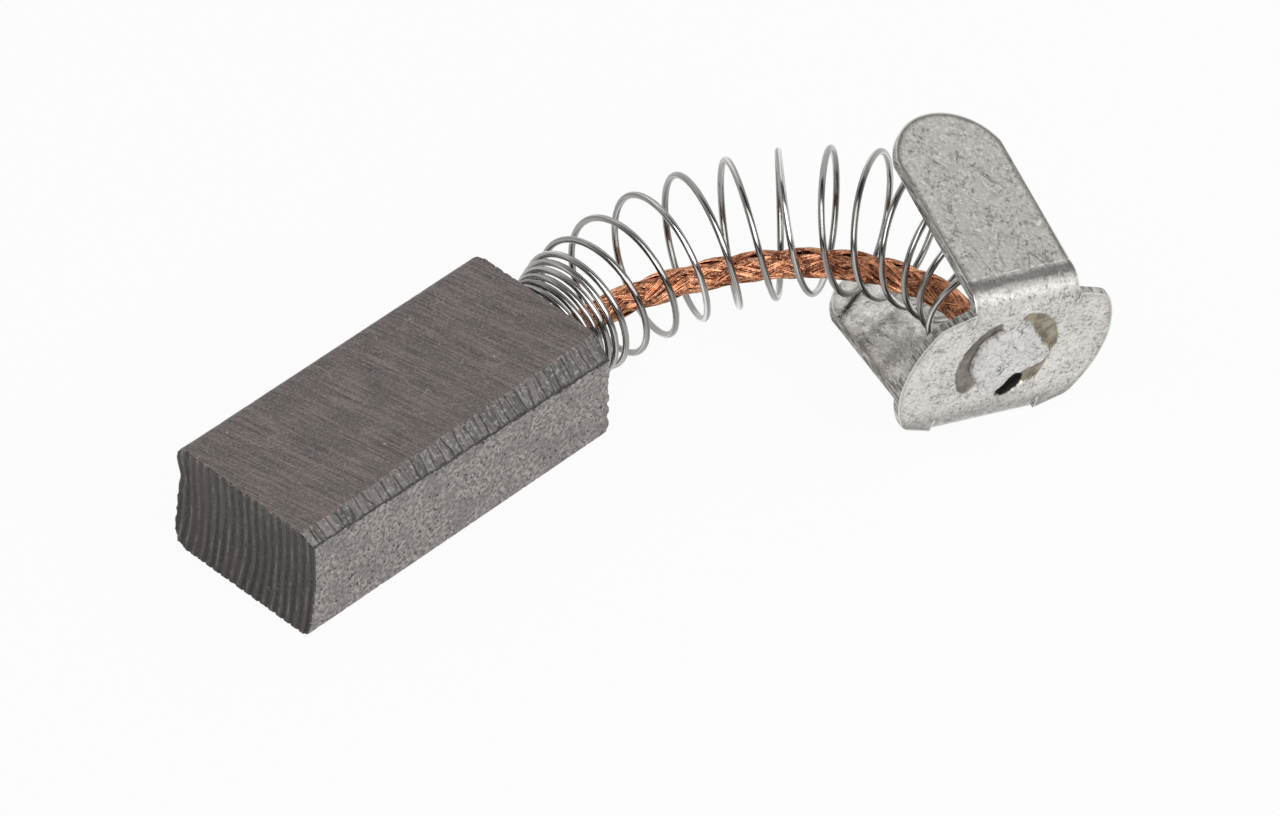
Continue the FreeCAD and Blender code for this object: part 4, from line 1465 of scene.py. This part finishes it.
def camera_matrix():
    """The photograph's view: an orbit round the aim point, with its slight roll."""
    yaw, pitch, roll = (math.radians(angle) for angle in (camera_yaw, camera_pitch, camera_roll))
    look = Vector((math.cos(pitch) * math.cos(yaw), math.cos(pitch) * math.sin(yaw), -math.sin(pitch)))
    right = Vector((math.sin(yaw), -math.cos(yaw), 0.0))
    up = right.cross(look)
    rolled_right = right * math.cos(roll) + up * math.sin(roll)
    rolled_up = up * math.cos(roll) - right * math.sin(roll)
    matrix = Matrix((rolled_right, rolled_up, -look)).transposed().to_4x4()
    matrix.translation = (Vector(camera_aim) - look * camera_distance) * MM
    return matrix


def add_camera():
    """The camera at the photograph's place."""
    data = bpy.data.cameras.new("photo_camera")
    data.lens = camera_lens
    data.sensor_width = 36.0
    data.clip_start = 0.01
    data.clip_end = 20.0
    camera = put_in_scene("photo_camera", data)
    camera.matrix_world = camera_matrix()
    bpy.context.scene.camera = camera


def face_part(item, place):
    """Stand an object at a place and turn it to face the part."""
    item.location = place
    item.rotation_euler = (Vector(stage_aim) - Vector(place)).to_track_quat("-Z", "Y").to_euler()


def add_soft_light(name, place, size, power):
    """A square soft light that faces the part."""
    data = bpy.data.lights.new(name, "AREA")
    data.shape = "SQUARE"
    data.size = size
    data.energy = power
    light = put_in_scene(name, data)
    face_part(light, place)
    light.visible_camera = False


def seen_directly(tree):
    """A mask that is 1 where the camera, a reflection or a clear material sees a surface."""
    path = add(tree, "LightPath")
    either = calculate(tree, "MAXIMUM", path.outputs["Is Camera Ray"], path.outputs["Is Glossy Ray"])
    return calculate(tree, "MAXIMUM", either, path.outputs["Is Transmission Ray"])


def white_surroundings(ambient):
    """White where it is seen, and an even weaker light on the part."""
    world = bpy.data.worlds.new("surroundings")
    bpy.context.scene.world = world
    tree = empty_tree(world)
    even = add(tree, "Background", {"Color": (1.0, 1.0, 1.0, 1.0), "Strength": ambient})
    white = add(tree, "Background", {"Color": (1.0, 1.0, 1.0, 1.0), "Strength": 1.0})
    joined = add(tree, "MixShader", links={0: seen_directly(tree), 1: even.outputs[0], 2: white.outputs[0]})
    output = add(tree, "OutputWorld")
    tree.links.new(joined.outputs[0], output.inputs[0])


def floor_material(settings):
    """A pale floor that keeps the part's shadow, lifted towards white where it is seen."""
    material = bpy.data.materials.new("pale_floor")
    tree = empty_tree(material)
    matt = add(tree, "BsdfDiffuse", {"Color": settings.floor_colour})
    white = add(tree, "Emission", {"Color": (1.0, 1.0, 1.0, 1.0), "Strength": 1.0})
    lifted = calculate(tree, "MULTIPLY", seen_directly(tree), settings.floor_whiteness)
    joined = add(tree, "MixShader", links={0: lifted, 1: matt.outputs[0], 2: white.outputs[0]})
    output = add(tree, "OutputMaterial")
    tree.links.new(joined.outputs[0], output.inputs[0])
    return material


def flat_square(name, width, material):
    """A flat square sheet of one material, for the floor and the studio cards."""
    half = width / 2
    mesh = bpy.data.meshes.new(name)
    mesh.from_pydata([(-half, -half, 0.0), (half, -half, 0.0), (half, half, 0.0), (-half, half, 0.0)],
                     [], [(0, 1, 2, 3)])
    mesh.materials.append(material)
    return put_in_scene(name, mesh)


def add_floor(settings):
    """The pale floor under the part."""
    floor = flat_square("floor", floor_width, floor_material(settings))


def add_card(name, place, width, shade):
    """A square studio card that shows only in the reflections of shiny pieces."""
    material = bpy.data.materials.new(name)
    tree = empty_tree(material)
    glow = add(tree, "Emission", {"Color": (1.0, 1.0, 1.0, 1.0), "Strength": shade})
    output = add(tree, "OutputMaterial")
    tree.links.new(glow.outputs[0], output.inputs[0])
    card = flat_square(name, width, material)
    face_part(card, place)
    for ray in ("camera", "diffuse", "transmission", "volume_scatter", "shadow"):
        setattr(card, "visible_" + ray, False)


# Operators

class OBJECT_OT_brush_carbon(bpy.types.Operator):
    """Dress the carbon block with its worn surface"""
    bl_idname = "object.brush_carbon"
    bl_label = "Carbon Block"

    def execute(self, context):
        settings = context.scene.brush_carbon
        materials = [ground_carbon(settings), pressed_carbon(settings), rubbed_carbon(settings),
                     cut_carbon(settings)]
        piece = show("carbon_body", carbon_mesh(settings), materials)
        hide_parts("carbon_block")
        return {"FINISHED"}


class OBJECT_OT_brush_lead(bpy.types.Operator):
    """Plait the copper lead along its route"""
    bl_idname = "object.brush_lead"
    bl_label = "Plaited Lead"

    def execute(self, context):
        settings = context.scene.brush_lead
        points, lengths = lead_line(lead_steps)
        noise.seed_set(plait_seed)
        lines, outwards, tones = plaited_lines(settings, points, lengths)
        wires, wire_faces, owner = wire_tubes(lines, outwards, plait_wire_radius, 4)
        core, core_faces = lead_core(points)
        faces = wire_faces + [tuple(index + len(wires) for index in face) for face in core_faces]
        mesh = mesh_from("plaited_lead", np.vstack((wires, core)), faces)
        set_attribute(mesh, "tone", np.concatenate((np.array(tones)[owner], np.zeros(len(core)))))
        piece = show("plaited_lead", mesh, [copper_wire(settings), copper_shadow()])
        slots = [0] * len(wire_faces) + [1] * len(core_faces)
        mesh.polygons.foreach_set("material_index", slots)
        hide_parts("braided_lead")
        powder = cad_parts["tamping_powder"]
        powder.data.materials.clear()
        powder.data.materials.append(tamped_powder())
        return {"FINISHED"}


class OBJECT_OT_brush_spring(bpy.types.Operator):
    """Wind the spring's round wire"""
    bl_idname = "object.brush_spring"
    bl_label = "Spring"

    def execute(self, context):
        settings = context.scene.brush_spring
        line, outwards = spring_line(settings.steps_per_turn)
        points, faces, _ = wire_tubes(line[None], outwards[None], wire_diameter / 2, settings.wire_sides)
        mesh = mesh_from("spring_wire", points, faces)
        lengths = np.concatenate(([0.0], np.cumsum(np.linalg.norm(np.diff(line, axis=0), axis=1))))
        angles = 2 * math.pi * np.arange(settings.wire_sides) / settings.wire_sides
        places = np.column_stack((np.repeat(lengths, settings.wire_sides),
                                  np.tile(0.3 * np.cos(angles), len(line)),
                                  np.tile(0.3 * np.sin(angles), len(line))))
        set_attribute(mesh, "wire_place", places, "FLOAT_VECTOR")
        piece = show("spring_wire", mesh, [spring_steel(settings)])
        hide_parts("compression_spring")
        return {"FINISHED"}


class OBJECT_OT_brush_terminal(bpy.types.Operator):
    """Fold the terminal cap from sheet"""
    bl_idname = "object.brush_terminal"
    bl_label = "Terminal Cap"

    def execute(self, context):
        settings = context.scene.brush_terminal
        piece = show("terminal_sheet", cap_mesh(settings), [tinned_sheet(settings), sheared_edge(settings)],
                     cap_matrix())
        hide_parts("terminal_cap")
        return {"FINISHED"}


class OBJECT_OT_brush_solder(bpy.types.Operator):
    """Close the lead's hole with solder"""
    bl_idname = "object.brush_solder"
    bl_label = "Solder"

    def execute(self, context):
        settings = context.scene.brush_terminal
        piece = show("solder_lump", solder_mesh(), [frosted_solder(settings)], cap_matrix())
        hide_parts("solder_button")
        return {"FINISHED"}


class OBJECT_OT_brush_stage(bpy.types.Operator):
    """Set the floor, lights and camera"""
    bl_idname = "object.brush_stage"
    bl_label = "Stage"

    def execute(self, context):
        settings = context.scene.brush_stage
        context.scene.view_settings.view_transform = "Standard"
        add_camera()
        white_surroundings(settings.ambient)
        add_floor(settings)
        add_soft_light("key_light", *key_light, settings.key_power)
        add_soft_light("fill_light", *fill_light, settings.fill_power)
        add_card("dark_card", *dark_card, settings.card_shade)
        add_card("bright_card", *bright_card, settings.bright_card)
        return {"FINISHED"}


class VIEW3D_PT_carbon_brush(bpy.types.Panel):
    """Buttons that build each piece, and its sizes and colours"""
    bl_idname = "VIEW3D_PT_carbon_brush"
    bl_label = "Carbon Brush"
    bl_space_type = "VIEW_3D"
    bl_region_type = "UI"
    bl_category = "Carbon Brush"

    def draw(self, context):
        layout = self.layout
        for operator, settings in BUTTONS:
            layout.operator(operator)
            if settings is None:
                continue
            group = getattr(context.scene, settings)
            column = layout.column(align=True)
            for name in group.__annotations__:
                column.prop(group, name)


BUTTONS = (
    ("object.brush_carbon", "brush_carbon"),
    ("object.brush_lead", "brush_lead"),
    ("object.brush_spring", "brush_spring"),
    ("object.brush_terminal", "brush_terminal"),
    ("object.brush_solder", None),
    ("object.brush_stage", "brush_stage"),
)

SETTINGS = {
    "brush_carbon": BrushCarbonSettings,
    "brush_lead": BrushLeadSettings,
    "brush_spring": BrushSpringSettings,
    "brush_terminal": BrushTerminalSettings,
    "brush_stage": BrushStageSettings,
}

CLASSES = (
    BrushCarbonSettings,
    BrushLeadSettings,
    BrushSpringSettings,
    BrushTerminalSettings,
    BrushStageSettings,
    OBJECT_OT_brush_carbon,
    OBJECT_OT_brush_lead,
    OBJECT_OT_brush_spring,
    OBJECT_OT_brush_terminal,
    OBJECT_OT_brush_solder,
    OBJECT_OT_brush_stage,
    VIEW3D_PT_carbon_brush,
)


def register():
    """Make the classes and the scene's settings known."""
    for item in CLASSES:
        bpy.utils.register_class(item)
    for name, group in SETTINGS.items():
        setattr(bpy.types.Scene, name, bpy.props.PointerProperty(type=group))


def unregister():
    """Take the settings and the classes away again."""
    for name in SETTINGS:
        delattr(bpy.types.Scene, name)
    for item in reversed(CLASSES):
        bpy.utils.unregister_class(item)


def main():
    """Build every piece in order."""
    register()
    make_shared_groups()
    bpy.ops.object.brush_stage()
    bpy.ops.object.brush_carbon()
    bpy.ops.object.brush_lead()
    bpy.ops.object.brush_spring()
    bpy.ops.object.brush_terminal()
    bpy.ops.object.brush_solder()


if __name__ == "__main__":
    main()
